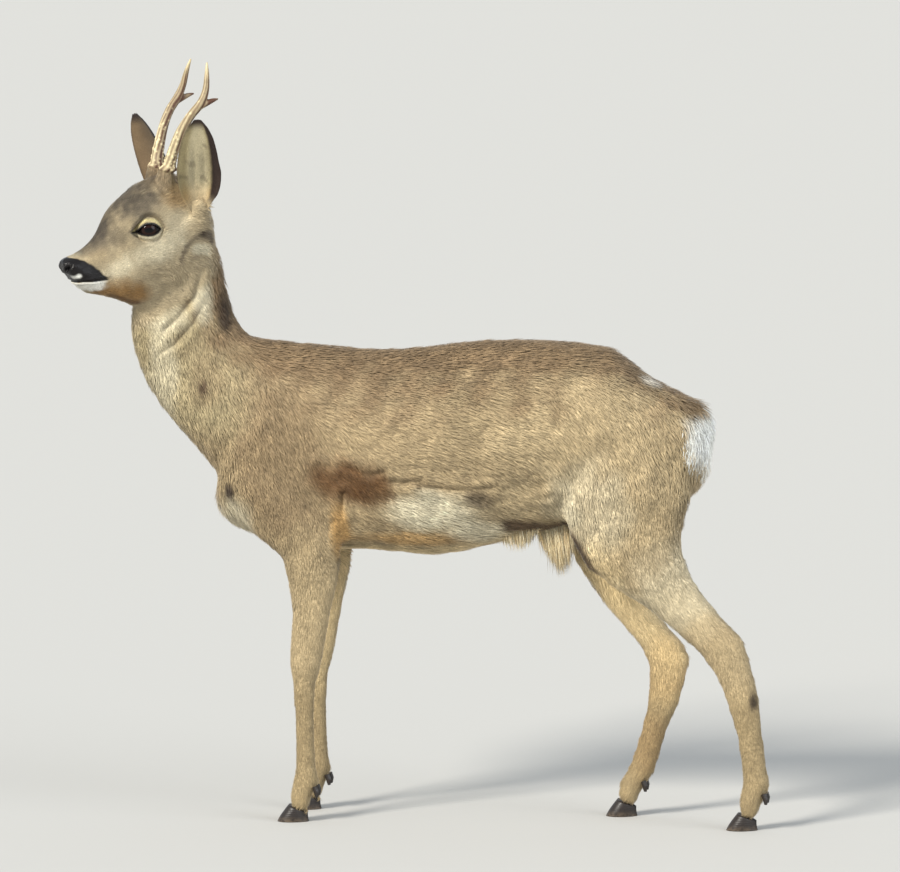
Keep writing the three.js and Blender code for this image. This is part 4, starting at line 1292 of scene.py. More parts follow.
def markings(points, normals):
    """The coat's colour at these places, the same on skin and tufts."""
    wobble = ripple(points, 20 * MM, seed=3) * 0.12
    colour = body_colours(points, normals, wobble)
    colour = add_body_marks(colour, points, normals, wobble)
    colour = add_face_marks(colour, points)
    colour = add_ear_marks(colour, points, normals)
    shade = 1 + 0.07 * ripple(points, 35 * MM, seed=11) + 0.05 * ripple(points, 9 * MM, seed=12)
    return np.clip(colour * shade[:, None], *COLOUR_LIMITS)


def paint(mesh, colours):
    """Stores a colour for each point, which the materials read."""
    attribute = mesh.attributes.new("colour", "FLOAT_COLOR", "POINT")
    rgba = np.concatenate([colours, np.ones((len(colours), 1))], axis=1)
    attribute.data.foreach_set("color", rgba.astype(np.float32).ravel())


def moisten(mesh, values):
    """Stores how damp each point's skin is."""
    attribute = mesh.attributes.new("damp", "FLOAT", "POINT")
    attribute.data.foreach_set("value", values.astype(np.float32))


# ------------------------------------------------------------------ materials


class Shader:
    """A Principled material, with short ways to add and link its nodes."""

    def __init__(self, name, **values):
        self.material = bpy.data.materials.new(name)
        self.material.use_nodes = True
        self.tree = self.material.node_tree
        self.main = self.tree.nodes["Principled BSDF"]
        for socket, value in values.items():
            self.main.inputs[socket.replace("_", " ")].default_value = value

    def node(self, kind, inputs=(), **settings):
        made = self.tree.nodes.new(kind)
        for name, value in settings.items():
            setattr(made, name, value)
        for name, value in dict(inputs).items():
            if isinstance(value, bpy.types.NodeSocket):
                self.tree.links.new(value, made.inputs[name])
            else:
                made.inputs[name].default_value = value
        return made

    def attribute(self, name, output="Color"):
        return self.node("ShaderNodeAttribute", attribute_name=name).outputs[output]

    def place(self, scale=(1, 1, 1)):
        coordinates = self.node("ShaderNodeTexCoord").outputs["Object"]
        return self.node("ShaderNodeMapping", {"Vector": coordinates, "Scale": scale}).outputs["Vector"]

    def noise(self, scale, detail=2.0, stretch=(1, 1, 1), roughness=0.5):
        inputs = {"Vector": self.place(stretch), "Scale": scale, "Detail": detail, "Roughness": roughness}
        return self.node("ShaderNodeTexNoise", inputs).outputs["Fac"]

    def ranged(self, value, low, high, start=0.3, end=0.7):
        inputs = {"Value": value, "From Min": start, "From Max": end, "To Min": low, "To Max": high}
        return self.node("ShaderNodeMapRange", inputs).outputs["Result"]

    def sum_of(self, a, b):
        return self.node("ShaderNodeMath", {0: a, 1: b}, operation="ADD").outputs[0]

    def product_of(self, a, b):
        return self.node("ShaderNodeMath", {0: a, 1: b}, operation="MULTIPLY").outputs[0]

    def times(self, colour, factor):
        scaled = self.node("ShaderNodeVectorMath", {0: colour, "Scale": factor}, operation="SCALE")
        return scaled.outputs["Vector"]

    def mixed(self, share, first, second):
        """A mix of two colours, whose sockets come after those for numbers and vectors."""
        return self.node("ShaderNodeMix", {0: share, 6: first, 7: second}, data_type="RGBA").outputs[2]

    def feed(self, socket, value):
        self.tree.links.new(value, self.main.inputs[socket])

    def bumped(self, height, distance, strength=1.0):
        inputs = {"Height": height, "Distance": distance, "Strength": strength}
        self.feed("Normal", self.node("ShaderNodeBump", inputs).outputs["Normal"])


def skin_material():
    """Short flat hair: its markings with fine streaks, damp and pebbled on the nose."""
    shader = Shader("short_hair", Sheen_Weight=0.05, Sheen_Roughness=0.5, Specular_IOR_Level=0.25)
    damp = shader.attribute("damp", "Fac")
    hair = shader.sum_of(shader.noise(900, 3, (0.35, 1, 1)), shader.noise(1500, 2, (1, 1, 0.25)))
    cells = shader.node("ShaderNodeTexVoronoi", {"Vector": shader.place(), "Scale": 700.0})
    tone = shader.ranged(hair, 0.78, 1.18, 0.75, 1.25)
    shader.feed("Base Color", shader.times(shader.attribute("colour"), tone))
    shader.feed("Roughness", shader.ranged(damp, 0.78, 0.30, 0.0, 1.0))
    dry = shader.product_of(hair, shader.ranged(damp, 1.0, 0.0, 0.0, 1.0))
    wet = shader.product_of(cells.outputs["Distance"], shader.ranged(damp, 0.0, 1.2, 0.0, 1.0))
    shader.bumped(shader.sum_of(dry, wet), 0.35 * MM, 0.8)
    return shader.material


def hair_material(name):
    """Guard hair: each tuft's own colour, with a fine grain."""
    shader = Shader(name, Roughness=0.68, Sheen_Weight=0.2, Sheen_Roughness=0.45, Specular_IOR_Level=0.3)
    grain = shader.ranged(shader.noise(420, 3), 0.84, 1.16)
    shader.feed("Base Color", shader.times(shader.attribute("colour"), grain))
    return shader.material


def eye_material():
    """A wet eyeball with fine fibres in its iris."""
    shader = Shader("eye", Roughness=0.05, IOR=1.36, Specular_IOR_Level=0.35)
    fibres = shader.ranged(shader.noise(800, 3), 0.7, 1.4)
    shader.feed("Base Color", shader.times(shader.attribute("colour"), fibres))
    return shader.material


def antler_material():
    """Hard bone with a long grain and fine pores."""
    shader = Shader("antler_bone", Roughness=0.55, Specular_IOR_Level=0.4)
    grain = shader.noise(260, 5, (1, 1, 0.3), 0.65)
    pores = shader.noise(1400, 2, (1, 1, 0.25))
    shader.feed("Base Color", shader.times(shader.attribute("colour"), shader.ranged(grain, 0.72, 1.2)))
    shader.bumped(shader.sum_of(grain, pores), 0.5 * MM, 0.6)
    return shader.material


def horn_material():
    """Claw horn: dark, with growth rings round it and a scuffed, paler edge."""
    shader = Shader("claw_horn", Roughness=0.42)
    rings = shader.node("ShaderNodeTexWave", {"Vector": shader.place(), "Scale": 110.0, "Distortion": 3.0})
    rings.bands_direction = "Z"
    rings.inputs["Detail Scale"].default_value = 2.5
    scuffs = shader.noise(240, 4)
    height = shader.node("ShaderNodeSeparateXYZ", {0: shader.place()}).outputs["Z"]
    low = shader.ranged(height, 1.0, 0.0, 0.0, 9 * MM)
    worn = shader.product_of(low, shader.ranged(scuffs, 0.0, 0.8))
    shader.feed("Base Color", shader.mixed(worn, (*COLOUR["horn"], 1), (*COLOUR["worn_horn"], 1)))
    shader.feed("Roughness", shader.ranged(scuffs, 0.32, 0.6))
    shader.bumped(shader.sum_of(rings.outputs["Fac"], scuffs), 0.25 * MM, 0.5)
    return shader.material


# ------------------------------------------------------------------ eyes


CORNEA_RISE, BALL_INSET = 0.6 * MM, 0.5 * MM
PUPIL_LONG, PUPIL_TALL, IRIS_RADIUS = 6.4 * MM, 3.6 * MM, 11.5 * MM


def eye_arrays(side, rings=40, sides=64):
    """An eyeball with its pole outward and a steeper cornea, and its points in the eye's directions."""
    angles = np.linspace(0, math.pi, rings)[1:-1]
    turns = np.linspace(0, 2 * math.pi, sides, endpoint=False)
    angle, turn = np.meshgrid(angles, turns, indexing="ij")
    ball = np.stack([np.sin(angle) * np.cos(turn), np.sin(angle) * np.sin(turn), np.cos(angle)], axis=2)
    radius = EYE_RADIUS - BALL_INSET + CORNEA_RISE * ramp(angle, 0.75, 0.35)
    poles = np.array([[0, 0, 1], [0, 0, -1]]) * EYE_RADIUS
    local, triangles = capped_rings(ball * radius[..., None], poles)
    centre, axes = eye_frame(side)
    points = placed_by(local, axes, centre)
    return points, outward(points, triangles), local


def add_eyes(material):
    """Dark brown eyes with the wide, level pupil of a deer."""
    for side in SIDES:
        points, triangles, local = eye_arrays(side)
        piece = new_piece(f"eyeball_{side}", points, triangles, material, "eye", [f"eye_{side}"])
        u, v, _ = local.T
        pupil = np.hypot(u / PUPIL_LONG, v / PUPIL_TALL)
        colour = mixed(COLOUR["pupil"], COLOUR["iris"], ramp(pupil, 0.95, 1.25))
        colour = mixed(colour, COLOUR["iris_edge"], ramp(np.hypot(u, v) / IRIS_RADIUS, 0.80, 1.0))
        paint(piece.data, colour)


# ------------------------------------------------------------------ antlers

# The left beam's middle line: forward, left and up in mm in the level head, and its radius.
BEAM = (
    (36.5, 19.8, 88.0, 8.6),
    (35.6, 20.8, 95.0, 8.6),
    (34.2, 22.3, 103.0, 9.0),
    (31.8, 24.4, 112.0, 8.4),
    (28.0, 27.5, 128.0, 8.0),
    (19.0, 33.0, 156.0, 7.0),
    (6.0, 40.0, 180.0, 6.4),
    (-9.0, 44.5, 199.0, 6.2),
    (-17.0, 43.0, 217.0, 5.0),
    (-21.0, 38.0, 238.0, 3.6),
    (-24.5, 30.0, 257.0, 1.3),
)
REAR_TINE = (
    (-3.0, 44.0, 192.0, 5.2),
    (-16.0, 45.5, 198.0, 4.6),
    (-27.0, 45.5, 202.0, 3.2),
    (-36.0, 45.0, 204.0, 1.1),
)
ANTLER_VOXEL = 1.1 * MM
BEAM_RINGS, TINE_RINGS, BEAM_SIDES, BEAM_STEPS = 90, 30, 24, 120
BURR = {"up": 101.5, "height": 3.6, "reach": 5.0}  # mm, the rough crown at the beam's foot
FURROWS, FURROW_RISE = 7, 0.35 * MM  # how many run round the beam, and how far they stand out
PEARL_RATE, PEARL_RADIUS, PEARL_RISE = 0.022, 1.5 * MM, 1.1 * MM


def nearest(points, places):
    """For each point, the number of the nearest place and how far off it is."""
    tree = KDTree(len(places))
    for number, place in enumerate(places):
        tree.insert(place, number)
    tree.balance()
    found = [tree.find(point) for point in points]
    return np.array([number for _, number, _ in found]), np.array([gap for _, _, gap in found])


def pearl_share(points, share, height, side):
    """1 on the small round bumps of the beam, which get rarer upward, and 0 between them."""
    draw = np.random.default_rng(31 + SIDES[side])
    rate = PEARL_RATE * ramp(share, 0.75, 0.25) * (height > 100)
    _, gap = nearest(points, points[draw.random(len(points)) < rate])
    return bump(gap / PEARL_RADIUS)


def antler_relief(points, out, share, side):
    """How far furrows, pearls and burr raise each point, and how bright its bone is, from 0 to 1, with
    painted light on its front and painted shade on its back.
    """
    height = seen_from(points, HEAD)[:, 2] / MM
    turn = np.arctan2(out @ HEAD[1], out @ HEAD[0])
    fade = ramp(share, 0.80, 0.45) * (height > 90)
    sway = 3 * np.sin(share * 9 + SIDES[side]) + ripple(points, 30 * MM, seed=21) * 0.6
    furrows = np.cos(turn * FURROWS + sway)
    pearls = pearl_share(points, share, height, side)
    crown = bump(height, BURR["up"], BURR["height"])
    knobs = 0.75 + 0.25 * np.cos(turn * 11) * np.cos(turn * 4 + 1)
    rise = FURROW_RISE * furrows * (0.35 + 0.65 * fade)
    rise += PEARL_RISE * pearls * ramp(share, 0.75, 0.3)
    rise += BURR["reach"] * MM * crown * knobs
    # The faces toward the front and outward are painted paler, and the rest darker: painted light and painted
    # shade
    painted_light_front = ramp(out @ HEAD[0] + 0.3 * (out @ HEAD[1]) * SIDES[side], -0.5, 0.8)
    bright = 0.10 + 0.45 * painted_light_front + 0.28 * furrows + 0.65 * pearls - 0.2 * crown
    bright = bright * (1 - 0.4 * ramp(share, 0.30, 0.05)) * (1 - 0.35 * ramp(share, 0.45, 0.65))
    return rise, np.clip(bright + 0.5 * ramp(share, 0.85, 1.0), 0, 1)


def antler_arrays(side):
    """One antler: the beam, which runs on into the front tine, and the rear tine grown out of it."""
    mirror = np.array([1, SIDES[side], 1])
    parts = []
    for rows, rings in ((BEAM, BEAM_RINGS), (REAR_TINE, TINE_RINGS)):
        path = np.array(rows) * MM
        path[:, :3] = placed_by(path[:, :3] * mirror, HEAD)
        parts.append(rod(path, rings, BEAM_SIDES))
    points, triangles = voxelled(*joined(parts), ANTLER_VOXEL)
    points = relaxed(points, triangles, 5)
    line = along_spline(np.array(BEAM) * MM, BEAM_STEPS)[:, :3]
    line = placed_by(line * mirror, HEAD)
    number, _ = nearest(points, line)
    rise, bright = antler_relief(points, unit(points - line[number]), number / (len(line) - 1), side)
    colour = mixed(COLOUR["antler_furrow_and_shade"], COLOUR["antler_bone"], bright)
    return points + point_normals(points, triangles) * rise[:, None], triangles, colour


def add_antlers(material):
    for side in SIDES:
        points, triangles, colour = antler_arrays(side)
        nodes = [f"antler_{part}_{side}" for part in ("beam", "front_tine", "rear_tine")]
        piece = new_piece(f"antler_{side}", points, triangles, material, "antler", nodes)
        paint(piece.data, colour)


# ------------------------------------------------------------------ claws


# A claw's form, as shares of its box: how far the cleft's wall bows in, how much the outer wall bulges,
# how far the top's toe is set back, how much shorter and narrower the top is, and how much lower the
# coronet is at the heel.
CLAW = {"cleft": 0.16, "bulge": 0.05, "setback": 0.36, "shorter": 0.40, "narrower": 0.12, "heel_drop": 0.44}


def claw_arrays(low, high, cleft_side, rings=16, sides=44):
    """A claw in its box: toe at low x, flat sole, straight wall by the cleft, slanting coronet."""
    length, width, height = high - low
    turns = np.linspace(0, 2 * math.pi, sides, endpoint=False)
    along = (1 - np.cos(turns)) / 2
    full = np.sin(math.pi * np.clip(along, 1e-6, 1) ** 0.72) ** 0.62
    across = np.where(np.sin(turns) > 0, full, CLAW["cleft"] * (1 - full))
    rows = []
    for level in np.linspace(0, 1, rings):
        span = 1 - CLAW["shorter"] * level**1.1
        x = low[0] + (CLAW["setback"] * level**1.25 + along * span) * length
        bulge = math.sin(level * math.pi) * CLAW["bulge"]
        wide = (1 - CLAW["narrower"] * level**2 + bulge) / (1 + CLAW["bulge"])
        side = across * width * wide
        y = low[1] + side if cleft_side < 0 else high[1] - side
        rows.append(np.stack([x, y, low[2] + height * (1 - CLAW["heel_drop"] * along) * level], axis=1))
    return capped_rings(rows)


DEWCLAW_VOXEL = 0.9 * MM


def dewclaw_arrays(name):
    """The small high claw: the frame's own short horn, rounded."""
    points, triangles = voxelled(*welded(*arrays_of(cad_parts[name].data)), DEWCLAW_VOXEL)
    return relaxed(points, triangles, 4), triangles


def add_claws(material):
    """Two claws and two dewclaws on each leg, each claw with its cleft toward the other."""
    for leg in LEGS:
        for part, other in (("inner", "outer"), ("outer", "inner")):
            node = f"{leg}_{part}_claw"
            low, high = (np.array(corner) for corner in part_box(node))
            cleft_side = -1 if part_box(f"{leg}_{other}_claw")[0].y < low[1] else 1
            claw = claw_arrays(low, high, cleft_side)
            new_piece(f"claw_{leg}_{part}", *claw, material, "hoof_horn", [node])
            node = f"{leg}_{part}_dewclaw"
            new_piece(f"dewclaw_{leg}_{part}", *dewclaw_arrays(node), material, "hoof_horn", [node])


# ------------------------------------------------------------------ coat

# Each piece of coat, with how closely the tufts cover it.
COAT_PIECES = {
    "coat_head_left": 1.45,
    "coat_head_right": 1.45,
    "coat_ears": 1.5,
    "coat_neck": 3.2,
    "coat_front_left": 3.2,
    "coat_front_right": 3.2,
    "coat_rear_left": 3.2,
    "coat_rear_right": 3.2,
    "coat_fore_legs": 1.0,
    "coat_hind_legs": 1.0,
}
TUFTS_MOST = 27000  # in one piece
COAT_SEED = 50
EAR_HAIR_WIDTH = 0.75  # as a share of other hair's of the same length
ROOT_DEPTH = 0.6 * MM
# How a blade bends, by its number of bends: the shares of its length between them, and how much each
# share rises, as a multiple of the blade's lift.
BENDS = {1: ((0.42, 0.58), (1.5, 0.55)), 2: ((0.28, 0.36, 0.36), (1.6, 0.8, 0.1))}
BLADE_HALVES, BLADE_THICKNESS = (0.5, 0.42), 0.24  # half its width at each bend, and its ridge, of the width
ROUND = ((0, 1), (1, 2), (2, 0))  # the sides of a blade's three-cornered ring
# Along a blade from root to tip: shares of the way, and how bright its colour is there. The darker root is
# painted shade down among the hair.
ROOT_TO_TIP = ((0, 0.3, 0.8, 1), (0.85, 1.0, 1.03, 1.1))
OWN_NORMAL = 0.6  # the share of a blade's own normals in its soft ones; the skin's count as 1
BRIGHTEST = 0.98
TUFT_FILL = 0.6  # the share of its length times width that a tuft covers
# How tufts differ, as shares of what their place gives them, and by how much they turn aside, in radians.
LENGTHS, LIFTS, WIDTHS, TURN = (0.72, 1.15), (0.6, 1.35), (0.8, 1.15), 0.12
TONE_SPREAD, DARK_TONE, PALE_TONE, ODD_TONES = 0.07, 0.72, 1.28, 0.10  # a tenth are dark, a tenth pale
BAKE_PATCH = 0.0015  # half the width of a tuft's patch of the bake map
BAKE_EDGE = 0.004
BAKE_SLICES = 24  # the stretches whose middles make a part's middle line
FRONT_END = 0.075  # x where the trunk's front coat meets the rear one
LEG_TOP = 0.36
FORELEGS_END = 0.1  # x that lies behind the forelegs and before the hind legs
NECK_END, NECK_UNDER = -0.235, 0.5  # x and z of the neck's coat at the chest
HAIR_WIDTHS = ((2, 6, 12, 24), (0.42, 0.66, 1.15, 1.8))  # lengths of hair in mm, and a tuft's width at each


def hair_width(length):
    """A tuft's width: fine on the face and feet, broader on the body."""
    return np.interp(length / MM, *HAIR_WIDTHS) * MM


def coat_region(points):
    """The name in COAT_PIECES of the piece that covers each place."""
    x, y, z = points.T
    left_face = seen_from(points, FACE)[:, 1] > 0
    ears = np.maximum(ear_share(points, "left"), ear_share(points, "right")) > 0.5
    part = np.where(x < FRONT_END, "coat_front_", "coat_rear_")
    return np.select(
        [ears, on_head(points), z < LEG_TOP, (x < NECK_END) & (z > NECK_UNDER)],
        [
            np.full(len(points), "coat_ears"),
            np.where(left_face, "coat_head_left", "coat_head_right"),
            np.where(x < FORELEGS_END, "coat_fore_legs", "coat_hind_legs"),
            np.full(len(points), "coat_neck"),
        ],
        np.char.add(part, np.where(y > MIDDLE, "right", "left")),
    )


def bare_share(points):
    """1 where no tuft grows: nose leather, nostrils, the lips' edge and the eyes' openings."""
    bare = nose_share(points) * ramp(seen_from(points, FACE)[:, 0], 160 * MM, 168 * MM)
    for side in SIDES:
        seen, place, _ = eye_view(points, side)
        bare = np.maximum(bare, (place < 1.22) * (seen[:, 2] > 0) * (np.abs(seen[:, 0]) < 30 * MM))
    up, gap = pedicle_gap(points)
    under_antler = (gap < PEDICLE["radius"]) * (up > PEDICLE["top"] - 2 * MM) * (up < ANTLER_FOOT)
    return np.maximum(bare, under_antler)


def sown(skin, triangles, weights, draw):
    """Roots spread evenly over these triangles, as many as the weights add up to, with their normals."""
    points, _, normals = skin
    total = np.cumsum(weights)
    count = int(total[-1])
    chosen = np.searchsorted(total, (np.arange(count) + draw.random(count)) * total[-1] / count)
    picked = triangles[np.minimum(chosen, len(triangles) - 1)]
    u, v = draw.random((2, count))
    over = u + v > 1
    u, v = np.where(over, 1 - u, u), np.where(over, 1 - v, v)
    shares = np.stack([1 - u - v, u, v], axis=1)[:, :, None]
    return (points[picked] * shares).sum(axis=1), unit((normals[picked] * shares).sum(axis=1))


def turned(vectors, normals, angles):
    """Each vector turned about its own normal, square to it."""
    return vectors * np.cos(angles)[:, None] + np.cross(normals, vectors) * np.sin(angles)[:, None]


def blades(roots, normals, lie, length, width, lift, bends=1):
    """Closed three-sided blades that rise from the skin and lie back along it: points by blade, triangles."""
    side = unit(np.cross(normals, lie))
    at, path = roots, [roots - normals * ROOT_DEPTH]
    for share, steepness in zip(*BENDS[bends], strict=True):
        slope = lift * steepness
        ahead = lie * np.cos(slope)[:, None] + normals * np.sin(slope)[:, None]
        at = at + ahead * (length * share)[:, None]
        path.append(at)
    thick = normals * (width * BLADE_THICKNESS)[:, None]
    for index, half_width in enumerate(BLADE_HALVES[:bends]):
        half = width[:, None] * side * half_width
        middle = path[3 * index + 1]
        path[3 * index + 1 : 3 * index + 2] = [middle - half, middle + half, middle + thick]
    tip = 3 * bends + 1
    faces = [(0, 1 + b, 1 + a) for a, b in ROUND]
    for ring in range(1, tip - 3, 3):
        for a, b in ROUND:
            faces += [(ring + a, ring + b, ring + b + 3), (ring + a, ring + b + 3, ring + a + 3)]
    faces += [(tip - 3 + a, tip - 3 + b, tip) for a, b in ROUND]
    return np.stack(path, axis=1), np.array(faces)


def bake_places(roots, along, up):
    """Each root's place on the skin unrolled: along the part, and round its middle line."""
    place, height, side = roots @ along, roots @ up, roots @ np.cross(along, up)
    edges = np.linspace(place.min(), place.max(), BAKE_SLICES + 1)
    part = np.clip(np.digitize(place, edges) - 1, 0, BAKE_SLICES - 1)
    count = np.maximum(np.bincount(part, minlength=BAKE_SLICES), 1)
    middles = (edges[:-1] + edges[1:]) / 2
    height = height - np.interp(place, middles, np.bincount(part, height, BAKE_SLICES) / count)
    side = side - np.interp(place, middles, np.bincount(part, side, BAKE_SLICES) / count)
    unrolled = np.stack([place, np.arctan2(side, height)], axis=1)
    low, high = unrolled.min(axis=0), unrolled.max(axis=0)
    return BAKE_EDGE + (unrolled - low) / (high - low) * (1 - 2 * BAKE_EDGE)


Tufts = namedtuple("Tufts", "points faces uv normals colours tones")


def add_tufts(name, tufts, material, slot, replaced=()):
    """One mesh of many blades, with its bake map, its colours from root to tip and soft normals."""
    count, corners = tufts.points.shape[:2]
    points = tufts.points.reshape(-1, 3)
    triangles = (np.arange(count)[:, None, None] * corners + tufts.faces[None]).reshape(-1, 3)
    piece = new_piece(name, points, triangles, material, slot, replaced)
    spread = np.zeros((corners, 2))
    spread[1:-1:3], spread[2:-1:3], spread[3:-1:3] = (-1, 0), (1, 0), (0, 0.3)
    spread[0], spread[-1] = (0, -1), (0, 1)
    uv = (tufts.uv[:, None] + spread[None] * BAKE_PATCH).reshape(-1, 2)
    layer = piece.data.uv_layers.new(name="OFBake")
    layer.data.foreach_set("uv", uv[triangles.ravel()].astype(np.float32).ravel())
    # Each blade darkens toward its root: painted shade down among the hair
    shade = np.interp(np.linspace(0, 1, corners), *ROOT_TO_TIP)
    shaded = tufts.colours[:, None] * shade[None, :, None] * tufts.tones[:, None, None]
    paint(piece.data, np.clip(shaded, 0, BRIGHTEST).reshape(-1, 3))
    own = point_normals(points, triangles) * OWN_NORMAL
    soft = unit(own + np.repeat(tufts.normals, corners, axis=0))
    piece.data.normals_split_custom_set_from_vertices(soft.astype(np.float32))


def tuft_tones(roots, draw):
    """Ticked hair: most tufts near their place's colour, a few darker or paler."""
    tones = draw.normal(1, TONE_SPREAD, len(roots))
    pick = draw.random(len(roots))
    tones = np.where(pick < ODD_TONES, tones * DARK_TONE, tones)
    tones = np.where(pick > 1 - ODD_TONES, tones * PALE_TONE, tones)
    return tones * (1 + 0.10 * ripple(roots, 14 * MM, seed=41) * ramp(roots[:, 2], 0.30, 0.40))


def bake_axes(name):
    """The direction along a piece of coat, and one square to it."""
    if "head" in name:
        return FACE[0], FACE[2]
    if "ears" in name:
        return HEAD[2], HEAD[0]
    if "legs" in name or "neck" in name:
        return UPWARD, BACKWARD
    return BACKWARD, UPWARD


def coat_tufts(name, roots, normals, draw):
    """The tufts of one piece of coat, on their roots."""
    lie, length, lift = coat_at(roots, normals)
    clump = 0.07 * ripple(roots, 22 * MM, seed=42) * ramp(length, 8 * MM, 18 * MM)
    lie = turned(lie, normals, draw.normal(0, TURN, len(roots)) + clump)
    length = length * draw.uniform(*LENGTHS, len(roots))
    lift = lift * draw.uniform(*LIFTS, len(roots)) * (1 + 0.15 * ripple(roots, 15 * MM, seed=43))
    width = hair_width(length) * draw.uniform(*WIDTHS, len(roots))
    if name == "coat_ears":
        width = EAR_HAIR_WIDTH * width
    points, faces = blades(roots, normals, lie, length, width, lift)
    colours = markings(roots + lie * (0.5 * length)[:, None], normals)
    uv = bake_places(roots, *bake_axes(name))
    return Tufts(points, faces, uv, normals, colours, tuft_tones(roots, draw))


def add_coat(skin, material):
    """Tufts over every region of the skin."""
    points, triangles, normals = skin
    centres = points[triangles].mean(axis=1)
    region = coat_region(centres)
    _, length, _ = coat_at(centres, unit(normals[triangles].sum(axis=1)))
    tuft_area = TUFT_FILL * length * hair_width(length)
    area, bare = triangle_areas(points, triangles), bare_share(centres)
    for number, (name, cover) in enumerate(COAT_PIECES.items()):
        rows = np.flatnonzero(region == name)
        weights = cover * area[rows] / tuft_area[rows] * (1 - bare[rows])
        weights *= min(1, TUFTS_MOST / weights.sum())
        draw = np.random.default_rng(COAT_SEED + number)
        roots, root_normals = sown(skin, triangles[rows], weights, draw)
        add_tufts(name, coat_tufts(name, roots, root_normals, draw), material, "winter_coat")


# ------------------------------------------------------------------ long hair

BRUSH_LOCKS, BRUSH_FRONT_SHARE = 3200, 0.36
BRUSH_SPREAD = np.array([15.0, 9.0, 4.0]) * MM  # how far the roots scatter along, across and up
BRUSH_OVERHANG = 14 * MM  # how far the longest hair hangs below the plain solid it replaces
RUMP_TUFTS = 5200
RUMP_HAIR = {"length": (14, 24), "width": (1.0, 1.7), "lift": (0.16, 0.34)}  # mm, mm and radians
BRUSH_ROOTS = {"front": (0.140, 0.440), "main": (0.194, 0.446)}  # x and z of the brush's two roots
FRONT_LOCK_OUT = 20 * MM  # the front locks hang to both sides of the middle
FRONT_LOCK_REACH = 0.52  # and only this share of the way down
FRINGE_STRETCH, FRINGE_SLOPE = 1.7, 0.35  # they run forward along the belly as it goes down


def hung_locks(roots, ways, length, width, draw):
    """Long locks as blades that start along their way and sink a little."""
    normals = unit(np.cross(ways, np.array([0, 1, 0])) + draw.normal(0, 0.5, roots.shape))
    normals = unit(flattened(normals, ways))
    return blades(roots, normals, ways, length, width, draw.uniform(-0.05, 0.10, len(roots)), bends=2)


def brush_roots(draw):
    """The locks' roots, how far each is from its own lock's middle, and which hang in front."""
    front = draw.random(BRUSH_LOCKS) < BRUSH_FRONT_SHARE
    spread = np.clip(draw.normal(0, 1, (BRUSH_LOCKS, 3)), -1.7, 1.7) * BRUSH_SPREAD
    spread[:, 0] *= np.where(front, FRINGE_STRETCH, 1)
    x, z = np.where(front[:, None], BRUSH_ROOTS["front"], BRUSH_ROOTS["main"]).T
    z = z + np.minimum(spread[:, 0], 0) * FRINGE_SLOPE * front
    y = MIDDLE + np.where(front, FRONT_LOCK_OUT, 0) * draw.choice((-1, 1), BRUSH_LOCKS)
    return np.stack([x, y, z], axis=1) + spread, spread, front


def add_brush(material):
    """The brush of long straw-coloured hair under the belly, in two locks."""
    draw = np.random.default_rng(71)
    low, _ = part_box("belly_brush")
    roots, spread, front = brush_roots(draw)
    ways = np.stack([0.14 - spread[:, 0] * 4, -spread[:, 1] * 4, np.full(BRUSH_LOCKS, -1.0)], axis=1)
    ways = unit(ways + draw.normal(0, 0.06, ways.shape))
    hang = roots[:, 2] - low[2] + BRUSH_OVERHANG
    reach = np.where(front, FRONT_LOCK_REACH * hang, hang)
    length = reach * draw.uniform(0.55, 1.0, BRUSH_LOCKS) * (1 - 0.3 * (spread[:, 0] / (22 * MM)) ** 2)
    width = draw.uniform(0.7, 1.3, BRUSH_LOCKS) * MM
    blade_points, faces = hung_locks(roots, ways, length, width, draw)
    colours = mixed(COLOUR["pale"], COLOUR["straw"], draw.random(BRUSH_LOCKS))
    colours = mixed(colours, COLOUR["ochre"], 0.4 * (draw.random(BRUSH_LOCKS) < 0.25))
    uv = bake_places(roots, BACKWARD, UPWARD)
    out = unit((roots - (0, MIDDLE, 0)) * (0, 1, 0) + ways * (0.01, 0, 0) + (0, 0, -0.002))
    tufts = Tufts(blade_points, faces, uv, out, colours, draw.normal(1, 0.08, BRUSH_LOCKS))
    add_tufts("belly_hair", tufts, material, "long_hair", ["belly_brush"])


def add_rump_hair(skin, material):
    """Longer white hair on the rump patch, flared outward."""
    points, triangles, _ = skin
    weights = triangle_areas(points, triangles) * rump_share(points[triangles].mean(axis=1))
    draw = np.random.default_rng(72)
    roots, normals = sown(skin, triangles, weights * RUMP_TUFTS / weights.sum(), draw)
    count = len(roots)
    lie, _, _ = coat_at(roots, normals)
    lie = turned(lie, normals, draw.normal(0, 0.2, count))
    length = draw.uniform(*RUMP_HAIR["length"], count) * MM
    width = draw.uniform(*RUMP_HAIR["width"], count) * MM
    lift = draw.uniform(*RUMP_HAIR["lift"], count)
    blade_points, faces = blades(roots, normals, lie, length, width, lift, bends=2)
    colours = np.tile(COLOUR["white"], (count, 1))
    uv = bake_places(roots, UPWARD, BACKWARD)
    tufts = Tufts(blade_points, faces, uv, normals, colours, draw.normal(0.98, 0.03, count))
    add_tufts("rump_hair", tufts, material, "white_hair")


def rump_share(points):
    """1 within the white marks of the rump."""
    share = np.zeros(len(points))
    for name, place, sizes, _ in on_both_sides(BODY_MARKS):
        if name == "white":
            share = np.maximum(share, mark_share(points, place, sizes, 0))
    return share


# ------------------------------------------------------------------ whiskers and lashes

